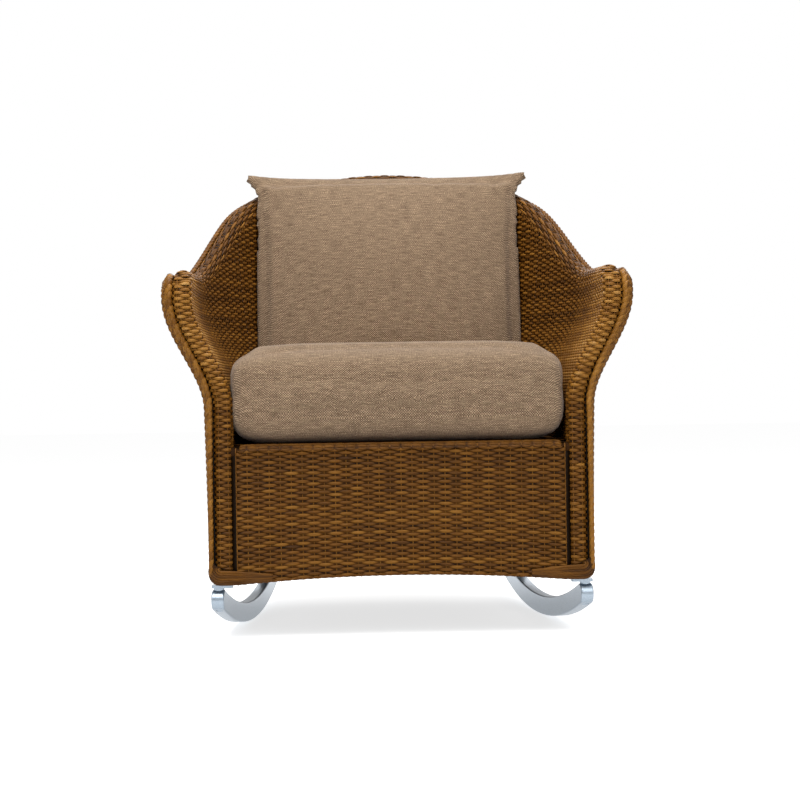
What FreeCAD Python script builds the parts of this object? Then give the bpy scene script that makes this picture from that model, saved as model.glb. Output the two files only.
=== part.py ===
import FreeCAD, Part
import os
import Sketcher
from math import asin, atan, cos, degrees, pi, sin, sqrt

from FreeCAD import Placement, Rotation, Vector

# A lounge rocking chair with a woven barrel shell on a tube frame, two curved bars under it
# and two loose cushions. The front faces -Y. Left and right are as seen from the front, so
# the right-hand side has +X. Every depth is measured back from the front of the rocker bars,
# and each finished piece is then moved so that the origin lies under the middle of the chair.

SIZES = [
    # arms, crown and plan of the frame, to the middle of the tube
    ("arm_half", 386.0, "half width between the arm tubes"),
    ("arm_height", 646.5, "height of the arm tube"),
    ("crown_height", 886.5, "height of the tube at the top of the back"),
    ("crown_depth", 786.0, "depth of the tube at the top of the back"),
    ("base_half", 316.0, "half width between the front posts"),
    ("post_depth", 22.0, "depth of the front posts"),
    ("base_depth", 746.0, "depth of the base rail at the rear"),
    ("deck_rear", 668.0, "depth of the inner back at the deck"),
    ("flare_height", 415.0, "height where the arms begin to lean out"),
    ("rear_post_depth", 648.0, "depth of the rear posts at the foot"),
    ("rear_post_half", 260.0, "half width between the rear posts at the foot"),
    # tubes
    ("post_radius", 13.5, "outer radius of the main tube"),
    ("post_wall", 2.0, "wall of the main tube"),
    ("rail_radius", 11.0, "outer radius of the rails"),
    ("rail_wall", 1.6, "wall of the rails"),
    # weave
    ("wrap_radius", 18.5, "outer radius of the weave round the main tube"),
    ("skin_thickness", 3.5, "thickness of the woven panels"),
    ("fit_gap", 0.3, "play between neighbours that only lie together"),
    ("braid_foot_radius", 6.8, "radius of the braid at the foot"),
    ("braid_arm_radius", 9.8, "radius of the braid at the arm"),
    ("braid_crown_radius", 7.0, "radius of the braid at the crown"),
    ("braid_sink", 0.4, "how far the braid beds into the weave"),
    ("braid_forward", 7.0, "how far the braid stands before the middle of the post"),
    ("foot_wrap_height", 25.0, "height of the wraps at the front feet"),
    ("foot_wrap_reach", 54.0, "reach of a foot wrap along the apron"),
    ("foot_wrap_thickness", 3.0, "thickness of a foot wrap"),
    # heights of the body
    ("base_height", 99.0, "height of the lower edge of the weave"),
    ("base_rail_height", 112.0, "height of the base rails"),
    ("base_rail_gap", 1.0, "room between the base rails and the outer weave"),
    ("apron_arch", 15.0, "rise of the apron's lower edge at the middle"),
    ("deck_height", 349.0, "height of the deck"),
    ("deck_thickness", 4.0, "thickness of the deck"),
    ("inner_split", 552.0, "depth where the inner arms end and the inner back begins"),
    ("seat_rail_rear", 655.0, "depth of the rear seat rail"),
    ("rear_foot_height", 74.0, "height of the lower end of the rear posts"),
    ("slat_width", 32.0, "width of a deck slat"),
    ("slat_thickness", 3.0, "thickness of a deck slat"),
    ("slat_pitch", 125.0, "spacing of the deck slats"),
    # rocker bars
    ("rocker_bend", 1360.0, "radius of the rolling edge"),
    ("rocker_contact", 393.5, "depth of the rolling edge's lowest point"),
    ("rocker_length", 842.0, "length of a rocker bar, level"),
    ("rocker_height", 36.5, "height of the bar's section"),
    ("rocker_width", 23.0, "width of the bar's section"),
    ("rocker_tip_half", 330.5, "half width between the bars at the front"),
    ("rocker_toe", 0.108, "how far the bars close in for each unit of depth"),
    ("rocker_edge", 3.0, "rounding of the bar's long edges"),
    # hardware between feet and bars
    ("bolt_radius", 3.9, "radius of a bolt"),
    ("bolt_play", 0.3, "play round a bolt"),
    ("head_radius", 6.5, "radius of a bolt head"),
    ("head_height", 5.0, "height of a bolt head"),
    ("head_depth", 7.0, "depth of a bolt head in the bar"),
    ("plate_thickness", 5.0, "thickness of a foot plate"),
    ("plate_width", 38.0, "width of a foot plate"),
    ("plate_depth", 30.0, "depth of a foot plate"),
    ("plate_corner", 5.0, "corner radius of a foot plate"),
    ("spacer_radius", 9.5, "radius of a spacer"),
    # seat cushion
    ("seat_thickness", 178.5, "height of the seat cushion at its crown"),
    ("seat_half", 295.0, "half width of the seat cushion at the front"),
    ("seat_rear_half", 281.0, "half width of the seat cushion at the rear"),
    ("seat_front", 3.0, "depth of the seat cushion's front"),
    ("seat_rear", 536.0, "depth of the seat cushion's rear"),
    ("seat_front_corner", 46.0, "plan corner radius at the front"),
    ("seat_rear_corner", 108.0, "plan corner radius at the rear"),
    ("seat_crown_corner", 88.0, "plan corner radius of the crown"),
    ("seat_draw", 3.0, "how far each side is drawn in"),
    # back cushion
    ("pillow_top", 889.0, "height of the back cushion's upper seam"),
    ("pillow_half", 271.0, "half width of the back cushion"),
    ("pillow_ear", 10.0, "how far its upper corners stand out"),
    ("pillow_front", 84.0, "bulge of its front"),
    ("pillow_rear", 52.0, "bulge of its rear"),
    ("pillow_seam", 12.0, "thickness at its seam"),
    ("pillow_foot_depth", 552.0, "depth of its seam at the foot"),
    ("pillow_lean", 84.0, "how far its seam leans back over its height"),
    ("pillow_bow", 46.0, "how far it bows back into the barrel"),
    ("cover_thickness", 3.0, "thickness of a cushion cover"),
    # one overrun serves every cut
    ("overrun", 30.0, "how far a cutting shape runs past"),
]

doc = FreeCAD.newDocument("rocking_chair")
sheet = doc.addObject("Spreadsheet::Sheet", "sizes")
for row, (alias, value, meaning) in enumerate(SIZES, start=1):
    sheet.set("A%d" % row, meaning)
    sheet.set("B%d" % row, str(value))
    sheet.setAlias("B%d" % row, alias)
doc.recompute()


def size(alias):
    """The value of one cell of the sheet."""
    return float(sheet.get(alias))


# the middle of the chair, which all depths are moved by at the end
MIDDLE = size("rocker_length") / 2
TO_ORIGIN = Placement(Vector(0, -MIDDLE, 0), Rotation())
UP = Vector(0, 0, 1)
ACROSS = Vector(1, 0, 0)
BACK = Vector(0, 1, 0)

nodes = {}


def keep(name, item):
    """Names a finished sub-part and moves it to the origin."""
    item.Label = name
    item.Placement = TO_ORIGIN.multiply(item.Placement)
    nodes[name] = item
    return item


def feature(name, shape):
    """A document object that holds a shape made from the sheet's sizes."""
    item = doc.addObject("Part::Feature", name)
    item.Shape = shape
    return item


def keep_shape(name, shape):
    """A finished sub-part made of one shape."""
    return keep(name, feature(name, shape))


def mirrored(shape):
    """The same shape on the other side of the chair."""
    return shape.mirror(Vector(0, 0, 0), ACROSS)


def keep_pair(name, shape):
    """A right-hand shape and its mirror image, as two sub-parts."""
    keep_shape(name + "_right", shape)
    keep_shape(name + "_left", mirrored(shape))


def less(shape, tools):
    """A shape less each of the tools in turn."""
    for tool in tools:
        shape = shape.cut(tool)
    return shape


# Where the frame runs. Each station is one place round the plan, from the front of an arm to
# the middle of the back. The shares are of the sizes named beside them.

rail_across_shares = [1.0, 1.003, 1.0, 0.978, 0.906, 0.818, 0.678, 0.377, 0.0]
rail_depth_shares = [0.047, 0.168, 0.325, 0.482, 0.613, 0.724, 0.848, 0.959, 1.0]
rail_rise_shares = [0.0, 0.01, 0.02, 0.055, 0.275, 0.55, 0.78, 0.93, 1.0]
base_across_shares = [1.0, 1.0, 0.998, 0.992, 0.981, 0.94, 0.829, 0.459, 0.0]
base_depth_shares = [0.0, 0.177, 0.343, 0.51, 0.648, 0.766, 0.87, 0.97, 1.0]
deck_across_shares = [1.0, 1.0, 0.997, 0.987, 0.965, 0.896, 0.734, 0.396, 0.0]
deck_depth_shares = [0.0, 0.198, 0.384, 0.57, 0.717, 0.848, 0.944, 0.988, 1.0]
# how straight each station's profile runs from base to rail, against the arm's flare
straight_shares = [0.0, 0.0, 0.0, 0.1, 0.3, 0.5, 0.7, 0.9, 1.0]
LAST = len(rail_across_shares) - 1


def round_the_plan(across_shares, depth_shares, rise_shares, half, front, rear, low, high):
    """A smooth curve round the whole plan, from the left arm's front to the right arm's."""
    right = [
        Vector(half * a, front + (rear - front) * d, low + (high - low) * r)
        for a, d, r in zip(across_shares, depth_shares, rise_shares)
    ]
    left = [Vector(-p.x, p.y, p.z) for p in right]
    curve = Part.BSplineCurve()
    points = left + right[-2::-1]
    curve.interpolate(Points=points, Parameters=[float(i) for i in range(len(points))])
    return curve


flat_shares = [0.0] * (LAST + 1)
rail_curve = round_the_plan(
    rail_across_shares, rail_depth_shares, rail_rise_shares,
    size("arm_half"), size("post_depth"), size("crown_depth"),
    size("arm_height"), size("crown_height"),
)
base_curve = round_the_plan(
    base_across_shares, base_depth_shares, flat_shares,
    size("base_half"), size("post_depth"), size("base_depth"),
    size("base_height"), size("base_height"),
)
deck_curve = round_the_plan(
    deck_across_shares, deck_depth_shares, flat_shares,
    size("base_half"), size("post_depth"), size("deck_rear"),
    size("deck_height"), size("deck_height"),
)


def share_at(shares, station):
    """A station's share, between the listed ones by proportion."""
    place = min(station, 2 * LAST - station)
    low = min(int(place), LAST - 1)
    return shares[low] + (shares[low + 1] - shares[low]) * (place - low)


def eased(part):
    """A share from 0 to 1 that starts and ends level."""
    return part * part * (3 - 2 * part)


flare_end_share = 0.85


def flare(height, top):
    """How far out the arm has leaned at a height, from 0 at the flare to 1 near its top."""
    rise = (height - size("flare_height")) / (top - size("flare_height"))
    return eased(min(max(rise / flare_end_share, 0.0), 1.0))


def outward(curve, station):
    """The level direction square to a plan curve, away from the seat."""
    if station in (0, 2 * LAST):
        return ACROSS if station else ACROSS * -1
    along = curve.tangent(station)[0]
    return Vector(-along.y, along.x, 0).normalize()


def shell_point(curve, station, height):
    """The middle of the shell over one place of a plan curve, at a height."""
    foot = curve.value(station)
    top = rail_curve.value(station)
    if station in (0, 2 * LAST):
        top.y = foot.y
    straight = share_at(straight_shares, station)
    climbed = (height - foot.z) / (top.z - foot.z)
    leaned = (1 - straight) * flare(height, top.z) + straight * climbed
    return Vector(foot.x + (top.x - foot.x) * leaned, foot.y + (top.y - foot.y) * leaned, height)


# Rods and tubes are lofts through rings set square to their path. Each ring begins on the
# same side, so that the surface doesn't twist.

def ring_at(point, along, radius, side):
    """A closed round wire, begun on the side given."""
    circle = Part.Circle(point, along, radius)
    circle.XAxis = (side - along * side.dot(along)).normalize()
    return Part.Wire(circle.toShape())


def rod(path, radii):
    """A solid rod along a path of points, tangents and a starting side."""
    points, tangents, side = path
    rings = [ring_at(p, t, r, side) for p, t, r in zip(points, tangents, radii)]
    return Part.makeLoft(rings, True, False)


def even_rod(path, radius):
    """A solid rod of one radius along a path."""
    return rod(path, [radius] * len(path[0]))


def even_tube(path, radius, wall):
    """A hollow tube along a path."""
    return even_rod(path, radius).cut(even_rod(path, radius - wall))


def path_along(curve, first, last, count, shift=0.0, rise=0.0):
    """Points and tangents along a plan curve, moved outward by shift and up by rise."""
    points, tangents = [], []
    for i in range(count):
        station = first + (last - first) * i / (count - 1)
        points.append(curve.value(station) + outward(curve, station) * shift + UP * rise)
        tangents.append(curve.tangent(station)[0])
    return points, tangents, UP


def slopes(points, first_direction, last_direction):
    """Tangents of a path from its neighbours, with the two ends given."""
    inner = [(points[i + 1] - points[i - 1]).normalize() for i in range(1, len(points) - 1)]
    return [first_direction] + inner + [last_direction]


POST_STEPS = 12
BEND_STEPS = 5


def post_path(foot_height):
    """The right front post, up from its foot and round the bend to the arm."""
    start = rail_curve.value(float(2 * LAST))
    bend = start.y - size("post_depth")
    bend_foot = size("arm_height") - bend
    points = []
    for i in range(POST_STEPS):
        height = foot_height + (bend_foot - foot_height) * i / POST_STEPS
        lean = flare(height, size("arm_height")) * (size("arm_half") - size("base_half"))
        points.append(Vector(size("base_half") + lean, size("post_depth"), height))
    for i in range(BEND_STEPS):
        turn = pi / 2 * i / (BEND_STEPS - 1)
        points.append(
            Vector(size("arm_half"), start.y - bend * cos(turn), bend_foot + bend * sin(turn))
        )
    return points, slopes(points, UP, BACK), ACROSS


front_post_path = post_path(size("base_height"))
front_post_rod = even_rod(front_post_path, size("post_radius"))
front_wrap_rod = even_rod(front_post_path, size("wrap_radius"))

HOOP_RINGS = 25
hoop_points, hoop_tangents, _ = path_along(rail_curve, 0.0, 2.0 * LAST, HOOP_RINGS)
# its ends stand square, flush with the ends of the front posts
hoop_path = (hoop_points, [BACK] + hoop_tangents[1:-1] + [BACK * -1], UP)
hoop_rod = even_rod(hoop_path, size("post_radius"))
hoop_wrap_rod = even_rod(hoop_path, size("wrap_radius"))

front_post = even_tube(front_post_path, size("post_radius"), size("post_wall"))
keep_pair("front_post", front_post)
keep_shape("top_rail", even_tube(hoop_path, size("post_radius"), size("post_wall")))

# Straight tubes are padded rings, coped to the pieces that they meet.

def body_plane(body, role):
    """One of a body's own origin planes."""
    return [f for f in body.Origin.OriginFeatures if f.Role == role][0]


def new_sketch(body, name, role):
    """A sketch on one of its body's origin planes."""
    sketch = body.newObject("Sketcher::SketchObject", name)
    sketch.AttachmentSupport = [(body_plane(body, role), "")]
    sketch.MapMode = "FlatFace"
    return sketch


def bound_circle(sketch, centre, alias_or_sum, radius):
    """A circle in a sketch, its radius bound to the sheet."""
    index = sketch.addGeometry(Part.Circle(centre, UP, radius), False)
    place = sketch.addConstraint(Sketcher.Constraint("Radius", index, radius))
    name = "radius_%d" % index
    sketch.renameConstraint(place, name)
    sketch.setExpression("Constraints." + name, alias_or_sum)
    return index


def straight_tube(name, start, end, radius, wall):
    """A straight tube from start to end."""
    body = doc.addObject("PartDesign::Body", name + "_body")
    sketch = new_sketch(body, name + "_ring", "XY_Plane")
    bound_circle(sketch, Vector(0, 0, 0), "sizes." + radius, size(radius))
    inner = "sizes.%s - sizes.%s" % (radius, wall)
    bound_circle(sketch, Vector(0, 0, 0), inner, size(radius) - size(wall))
    pad = body.newObject("PartDesign::Pad", name + "_pad")
    pad.Profile = sketch
    pad.Length = (end - start).Length
    body.Placement = Placement(start, Rotation(UP, end - start))
    return body


def solid_bar(start, end, radius):
    """A plain round bar, the shape that others are coped to."""
    return Part.makeCylinder(radius, (end - start).Length, start, end - start)


def coped(name, item, tools):
    """An object less the pieces that it meets, as a boolean of the document."""
    result = item
    for i, tool in enumerate(tools):
        cut = doc.addObject("Part::Cut", "%s_cope_%d" % (name, i))
        cut.Base = result
        cut.Tool = tool
        result = cut
    doc.recompute()
    return result


def keep_mirrored(name, item):
    """A right-hand object, and its mirror image on the left."""
    other = doc.addObject("Part::Mirroring", name + "_mirror")
    other.Source = item
    other.Normal = ACROSS
    doc.recompute()
    keep_shape(name + "_left", other.Shape.copy())
    keep_shape(name + "_right", item.Shape.copy())


front_rod_right = feature("front_rod_right", front_post_rod)
front_rod_left = feature("front_rod_left", mirrored(front_post_rod))
hoop_tool = feature("hoop_tool", hoop_rod)

# Rear posts stand inside the outer weave, from the rear feet up to the rail.
REAR_STATION = 2 * LAST - 6
rear_outward = outward(rail_curve, float(REAR_STATION))
rear_top = rail_curve.value(float(REAR_STATION)) - rear_outward * size("fit_gap")
rear_foot = Vector(size("rear_post_half"), size("rear_post_depth"), size("rear_foot_height"))
rear_lean = (rear_top - rear_foot).normalize()
below_foot = rear_foot - rear_lean * size("overrun")
rear_post_bar = solid_bar(below_foot, rear_top, size("post_radius"))
floor_side = Part.makeBox(
    size("base_half") * 2, size("base_depth") * 2, size("rear_foot_height"),
)
floor_tool = feature("floor_tool", floor_side)
rear_rod_right = feature("rear_rod_right", rear_post_bar)
rear_rod_left = feature("rear_rod_left", mirrored(rear_post_bar))
rear_post = straight_tube("rear_post", below_foot, rear_top, "post_radius", "post_wall")
keep_mirrored("rear_post", coped("rear_post", rear_post, [hoop_tool, floor_tool]))

# Base rails follow the foot of the outer weave.
SIDE_RINGS = 7
base_rise = size("base_rail_height") - size("base_height")
base_shift = size("post_radius") - size("rail_radius") - size("base_rail_gap")
side_path = path_along(
    base_curve, 2.0 * LAST, float(REAR_STATION), SIDE_RINGS, base_shift, base_rise
)
side_base_bar = even_rod(side_path, size("rail_radius"))
side_base_tube = even_tube(side_path, size("rail_radius"), size("rail_wall"))
keep_pair("base_rail", less(side_base_tube, [front_post_rod, rear_post_bar]))
rear_path = path_along(
    base_curve, 2.0 * LAST - REAR_STATION, float(REAR_STATION), SIDE_RINGS, base_shift, base_rise
)
rear_base_tube = even_tube(rear_path, size("rail_radius"), size("rail_wall"))
rear_bars = [rear_post_bar, mirrored(rear_post_bar)]
keep_shape("base_rail_rear", less(rear_base_tube, rear_bars))

# Seat rails lie under the deck.
seat_rail_height = size("deck_height") - size("deck_thickness") - size("rail_radius")
front_corner = Vector(size("base_half"), size("post_depth"), seat_rail_height)
rear_corner = Vector(size("rear_post_half"), size("seat_rail_rear"), seat_rail_height)


def other_side(point):
    """The same place on the left."""
    return Vector(-point.x, point.y, point.z)


front_seat_bar = solid_bar(other_side(front_corner), front_corner, size("rail_radius"))
rear_seat_bar = solid_bar(other_side(rear_corner), rear_corner, size("rail_radius"))
side_seat_bar = solid_bar(front_corner, rear_corner, size("rail_radius"))
front_rail = straight_tube(
    "seat_rail_front", other_side(front_corner), front_corner, "rail_radius", "rail_wall"
)
keep("seat_rail_front", coped("seat_rail_front", front_rail, [front_rod_right, front_rod_left]))
rear_rail = straight_tube(
    "seat_rail_rear", other_side(rear_corner), rear_corner, "rail_radius", "rail_wall"
)
keep("seat_rail_rear", coped("seat_rail_rear", rear_rail, [rear_rod_right, rear_rod_left]))
side_rail = straight_tube("seat_rail", front_corner, rear_corner, "rail_radius", "rail_wall")
front_bar_tool = feature("front_bar_tool", front_seat_bar)
rear_bar_tool = feature("rear_bar_tool", rear_seat_bar)
side_tools = [front_rod_right, rear_rod_right, front_bar_tool, rear_bar_tool]
keep_mirrored("seat_rail", coped("seat_rail", side_rail, side_tools))

# The apron rail is one shallow arch between the front posts.
ARCH_RINGS = 9
apron_rail_low = size("base_height") + size("rail_radius")
arch = Part.Arc(
    Vector(-size("base_half"), size("post_depth"), apron_rail_low),
    Vector(0, size("post_depth"), apron_rail_low + size("apron_arch")),
    Vector(size("base_half"), size("post_depth"), apron_rail_low),
)
arch_ends = (arch.FirstParameter, arch.LastParameter)
arch_places = [
    arch_ends[0] + (arch_ends[1] - arch_ends[0]) * i / (ARCH_RINGS - 1) for i in range(ARCH_RINGS)
]
arch_points = [arch.value(place) for place in arch_places]
arch_path = (arch_points, [arch.tangent(place)[0] for place in arch_places], UP)
arch_bar = even_rod(arch_path, size("rail_radius"))
arch_tube = even_tube(arch_path, size("rail_radius"), size("rail_wall"))
front_rods = [front_post_rod, mirrored(front_post_rod)]
keep_shape("apron_rail", less(arch_tube, front_rods))

# One upright behind the inner weave carries the middle of the back.
crown = rail_curve.value(float(LAST))
back_side = size("post_radius") - size("rail_radius")
upright_foot = Vector(0, size("deck_rear") - back_side, seat_rail_height)
upright_top = Vector(0, crown.y - back_side, crown.z)
upright_bar = solid_bar(upright_foot, upright_top, size("rail_radius"))
upright = straight_tube("back_upright", upright_foot, upright_top, "rail_radius", "rail_wall")
keep("back_upright", coped("back_upright", upright, [hoop_tool, rear_bar_tool]))

# Three slats span the seat frame under the deck.
SLATS = 3
slats = []
for i in range(SLATS):
    slat = doc.addObject("Part::Box", "slat_%d" % i)
    slat.setExpression("Length", "sizes.slat_width")
    slat.setExpression("Height", "sizes.slat_thickness")
    slat.setExpression("Width", "sizes.seat_rail_rear - sizes.post_depth")
    slat.Placement.Base = Vector(
        size("slat_pitch") * (i - (SLATS - 1) / 2) - size("slat_width") / 2,
        size("post_depth"),
        size("deck_height") - size("deck_thickness") - size("slat_thickness"),
    )
    slats.append(slat)
slat_group = doc.addObject("Part::Compound", "slat_group")
slat_group.Links = slats
doc.recompute()
keep("deck_slats", coped("deck_slats", slat_group, [front_bar_tool, rear_bar_tool]))

print("tubes done")

# The weave that wraps the posts and the rail.
wrap_bore = size("post_radius") + size("fit_gap")
front_wrap = front_wrap_rod.cut(even_rod(front_post_path, wrap_bore))
met_by_front_wrap = [front_seat_bar, side_seat_bar, side_base_bar, arch_bar]
keep_pair("post_wrap", less(front_wrap, met_by_front_wrap))
rail_wrap = hoop_wrap_rod.cut(even_rod(hoop_path, wrap_bore))
keep_shape("rail_wrap", less(rail_wrap, rear_bars + [upright_bar]))
front_wraps = [front_wrap_rod, mirrored(front_wrap_rod)]

foot_circle = (Vector(size("base_half"), size("post_depth"), size("base_height")), UP)
foot_wrap_radius = size("wrap_radius") + size("foot_wrap_thickness")
foot_wrap_bar = Part.makeCylinder(foot_wrap_radius, size("foot_wrap_height"), *foot_circle)

# The front apron lies before the seat rail and the apron rail.
apron_back = size("post_depth") - size("rail_radius") - size("fit_gap")
apron_front = apron_back - size("skin_thickness")


def apron_body():
    """The flat front panel with its arched lower edge."""
    body = doc.addObject("PartDesign::Body", "apron_body")
    sketch = new_sketch(body, "apron_outline", "XZ_Plane")
    half = size("base_half")
    low = size("base_height")
    high = size("deck_height")
    middle = low + size("apron_arch")
    corners = [Vector(x, z, 0) for x, z in ((-half, low), (half, low), (half, high), (-half, high))]
    sketch.addGeometry(Part.Arc(corners[0], Vector(0, middle, 0), corners[1]), False)
    for first, second in zip(corners[1:], corners[2:] + corners[:1]):
        sketch.addGeometry(Part.LineSegment(first, second), False)
    pad = body.newObject("PartDesign::Pad", "apron_pad")
    pad.Profile = sketch
    pad.setExpression("Length", "sizes.skin_thickness")
    body.Placement = Placement(Vector(0, apron_back, 0), Rotation())
    doc.recompute()
    return body


apron = apron_body()
wrap_tools = [
    feature("wrap_rod_right", front_wrap_rod),
    feature("wrap_rod_left", mirrored(front_wrap_rod)),
    feature("foot_wrap_tool_right", foot_wrap_bar),
    feature("foot_wrap_tool_left", mirrored(foot_wrap_bar)),
]
keep("front_apron", coped("front_apron", apron, wrap_tools))

# The braid beds into the outer side of the weave, up each post and on round the rim.

def braid_distance(radius):
    """How far the braid's middle lies from the tube's."""
    return size("wrap_radius") + radius - size("braid_sink")


def post_braid():
    """The braid of the right post: its path and radii."""
    points, radii = [], []
    path, tangents, _ = front_post_path
    reach = path[-1].z - path[0].z
    for point, tangent in zip(path, tangents):
        thick = eased((point.z - path[0].z) / reach)
        radius = size("braid_foot_radius")
        radius += (size("braid_arm_radius") - size("braid_foot_radius")) * thick
        forward = size("braid_forward") * (1 - thick)
        side = (ACROSS - tangent * ACROSS.dot(tangent)).normalize()
        points.append(point + side * braid_distance(radius) - BACK * forward)
        radii.append(radius)
    return (points, slopes(points, UP, BACK), ACROSS), radii


def rim_braid():
    """The braid round the rim: its path and radii."""
    points, radii = [], []
    for i in range(HOOP_RINGS):
        station = 2.0 * LAST * i / (HOOP_RINGS - 1)
        crown_part = sin(pi / 2 * min(station, 2 * LAST - station) / LAST) ** 2
        radius = size("braid_arm_radius")
        radius += (size("braid_crown_radius") - size("braid_arm_radius")) * crown_part
        side = outward(rail_curve, station) * braid_distance(radius)
        points.append(rail_curve.value(station) + side)
        radii.append(radius)
    return (points, slopes(points, BACK, BACK * -1), UP), radii


post_braid_rod = rod(*post_braid())
rim_braid_rod = rod(*rim_braid())
braids = [post_braid_rod, mirrored(post_braid_rod), rim_braid_rod]

# The woven skins are one closed band each round the whole plan, then parted. Both faces of a
# skin pass through a grid of points at the shell's own stations and heights.
HEIGHT_STEPS = 12


def skin_surface(curve, low, distance):
    """One face of a skin, at a distance from the shell's middle."""
    grid = []
    for half_station in range(4 * LAST + 1):
        station = half_station / 2
        side = outward(curve, station)
        top = rail_curve.value(station).z
        heights = [low + (top - low) * i / (HEIGHT_STEPS - 1) for i in range(HEIGHT_STEPS)]
        grid.append([shell_point(curve, station, height) + side * distance for height in heights])
    surface = Part.BSplineSurface()
    surface.interpolate(grid)
    return surface


def border(surface):
    """The four edges of a surface."""
    first_u, last_u, first_v, last_v = surface.bounds()
    lines = [surface.uIso(first_u), surface.uIso(last_u), surface.vIso(first_v), surface.vIso(last_v)]
    return [line.toShape() for line in lines]


def skin(curve, low, near, far):
    """A woven skin round the whole plan."""
    surfaces = [skin_surface(curve, low, distance) for distance in (near, far)]
    faces = [surface.toShape() for surface in surfaces]
    for first, second in zip(border(surfaces[0]), border(surfaces[1])):
        faces.append(Part.makeRuledSurface(first, second))
    shell = Part.makeShell(faces)
    shell.sewShape()
    band = Part.makeSolid(shell)
    if band.Volume < 0:
        band.reverse()
    return band.cut(bend_corner())


def bend_corner():
    """The space before and above the bend at the front of each arm."""
    bend = rail_curve.value(0.0).y - size("post_depth")
    foot = size("arm_height") - bend
    half_span = size("arm_half") + size("overrun")
    block = Part.makeBox(
        half_span * 2, size("overrun") + size("post_depth") + bend, bend + size("overrun"),
        Vector(-half_span, -size("overrun"), foot),
    )
    axis_end = Vector(-half_span, size("post_depth") + bend, foot)
    return block.cut(Part.makeCylinder(bend, half_span * 2, axis_end, ACROSS))


def parted(shape, depth):
    """A skin's left, right and rear parts, split at a depth."""
    half_span = size("arm_half") + size("overrun")
    tall = size("crown_height") + size("overrun")
    behind = Part.makeBox(half_span * 2, size("crown_depth"), tall, Vector(-half_span, depth, 0))
    ahead = Part.makeBox(
        half_span, depth + size("overrun"), tall, Vector(0, -size("overrun"), 0)
    )
    right = shape.common(ahead)
    return mirrored(right), right, shape.common(behind)


near_skin = size("post_radius") + size("fit_gap")
far_skin = near_skin + size("skin_thickness")
around = [hoop_wrap_rod] + front_wraps
feet = [foot_wrap_bar, mirrored(foot_wrap_bar)]
outer_skin = skin(base_curve, size("base_height"), near_skin, far_skin)
outer_left, outer_right, outer_rear = parted(
    less(outer_skin, around + feet + braids), size("rear_post_depth")
)
keep_shape("outer_side_left", outer_left)
keep_shape("outer_side_right", outer_right)
keep_shape("outer_back", outer_rear)
inner_skin = skin(deck_curve, size("deck_height"), -near_skin, -far_skin)
inner_left, inner_right, inner_rear = parted(less(inner_skin, around), size("inner_split"))
keep_shape("inner_arm_left", inner_left)
keep_shape("inner_arm_right", inner_right)
keep_shape("inner_back", inner_rear)

print("skins done")

# The deck fills the plan inside the shell, and the inner skins stand on its edge.
deck_low = size("deck_height") - size("deck_thickness")
deck_edge = deck_curve.copy()
deck_edge.translate(Vector(0, 0, deck_low - size("deck_height")))
front_edge = apron_back + size("fit_gap")
inset = size("wrap_radius")
deck_front = [
    deck_edge.EndPoint,
    Vector(size("base_half") - inset, front_edge, deck_low),
    Vector(inset - size("base_half"), front_edge, deck_low),
    deck_edge.StartPoint,
]
deck_lines = [Part.LineSegment(a, b).toShape() for a, b in zip(deck_front, deck_front[1:])]
deck_wire = Part.Wire(Part.sortEdges([deck_edge.toShape()] + deck_lines)[0])
deck = Part.Face(deck_wire).extrude(UP * size("deck_thickness"))
keep_shape("seat_deck", less(deck, front_wraps + [upright_bar] + rear_bars))

# Wraps at the front feet, each with a band that runs on along the apron.
wrap_band = Part.makeBox(
    size("foot_wrap_reach"), size("foot_wrap_thickness"), size("foot_wrap_height"),
    Vector(
        size("base_half") - size("foot_wrap_reach"),
        apron_front - size("foot_wrap_thickness"),
        size("base_height"),
    ),
)


foot_wrap = foot_wrap_bar.fuse(wrap_band)
foot_wrap_met = [front_wrap_rod, post_braid_rod, side_base_bar, arch_bar]
keep_pair("foot_wrap", less(foot_wrap, foot_wrap_met))
keep_pair("post_braid", post_braid_rod.cut(front_wrap_rod))
keep_shape("rim_braid", rim_braid_rod.cut(hoop_wrap_rod))

rear_sleeve_height = size("base_height") - size("rear_foot_height")
rear_sleeve = solid_bar(below_foot, rear_top, near_skin + size("skin_thickness"))
rear_sleeve = rear_sleeve.cut(solid_bar(below_foot, rear_top, near_skin))
sleeve_zone = Part.makeBox(
    size("base_half") * 2, size("base_depth") * 2, rear_sleeve_height,
    Vector(0, 0, size("rear_foot_height")),
)
keep_pair("rear_foot_wrap", rear_sleeve.common(sleeve_zone))

print("wraps and braids done")

# Rocker bars. Each bar is drawn in its own upright plane, with its middle at the middle of
# the chair, and then turned a little so that the two close in towards the back.
toe_angle = atan(size("rocker_toe"))
along_share = 1 / cos(toe_angle)
bar_half = size("rocker_length") / 2 * along_share
nose = size("rocker_height") / 2
contact_along = (size("rocker_contact") - MIDDLE) * along_share
bar_place = Placement(
    Vector(size("rocker_tip_half") - size("rocker_toe") * MIDDLE, MIDDLE, 0),
    Rotation(UP, degrees(toe_angle)),
)
FOOT_DEPTHS = (size("post_depth"), size("rear_post_depth"))
foot_alongs = [(depth - MIDDLE) * along_share for depth in FOOT_DEPTHS]


def edge_height(along, radius):
    """The height of one of the bar's curved faces at a place along it."""
    return size("rocker_bend") - sqrt(radius ** 2 - (along - contact_along) ** 2)


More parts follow.
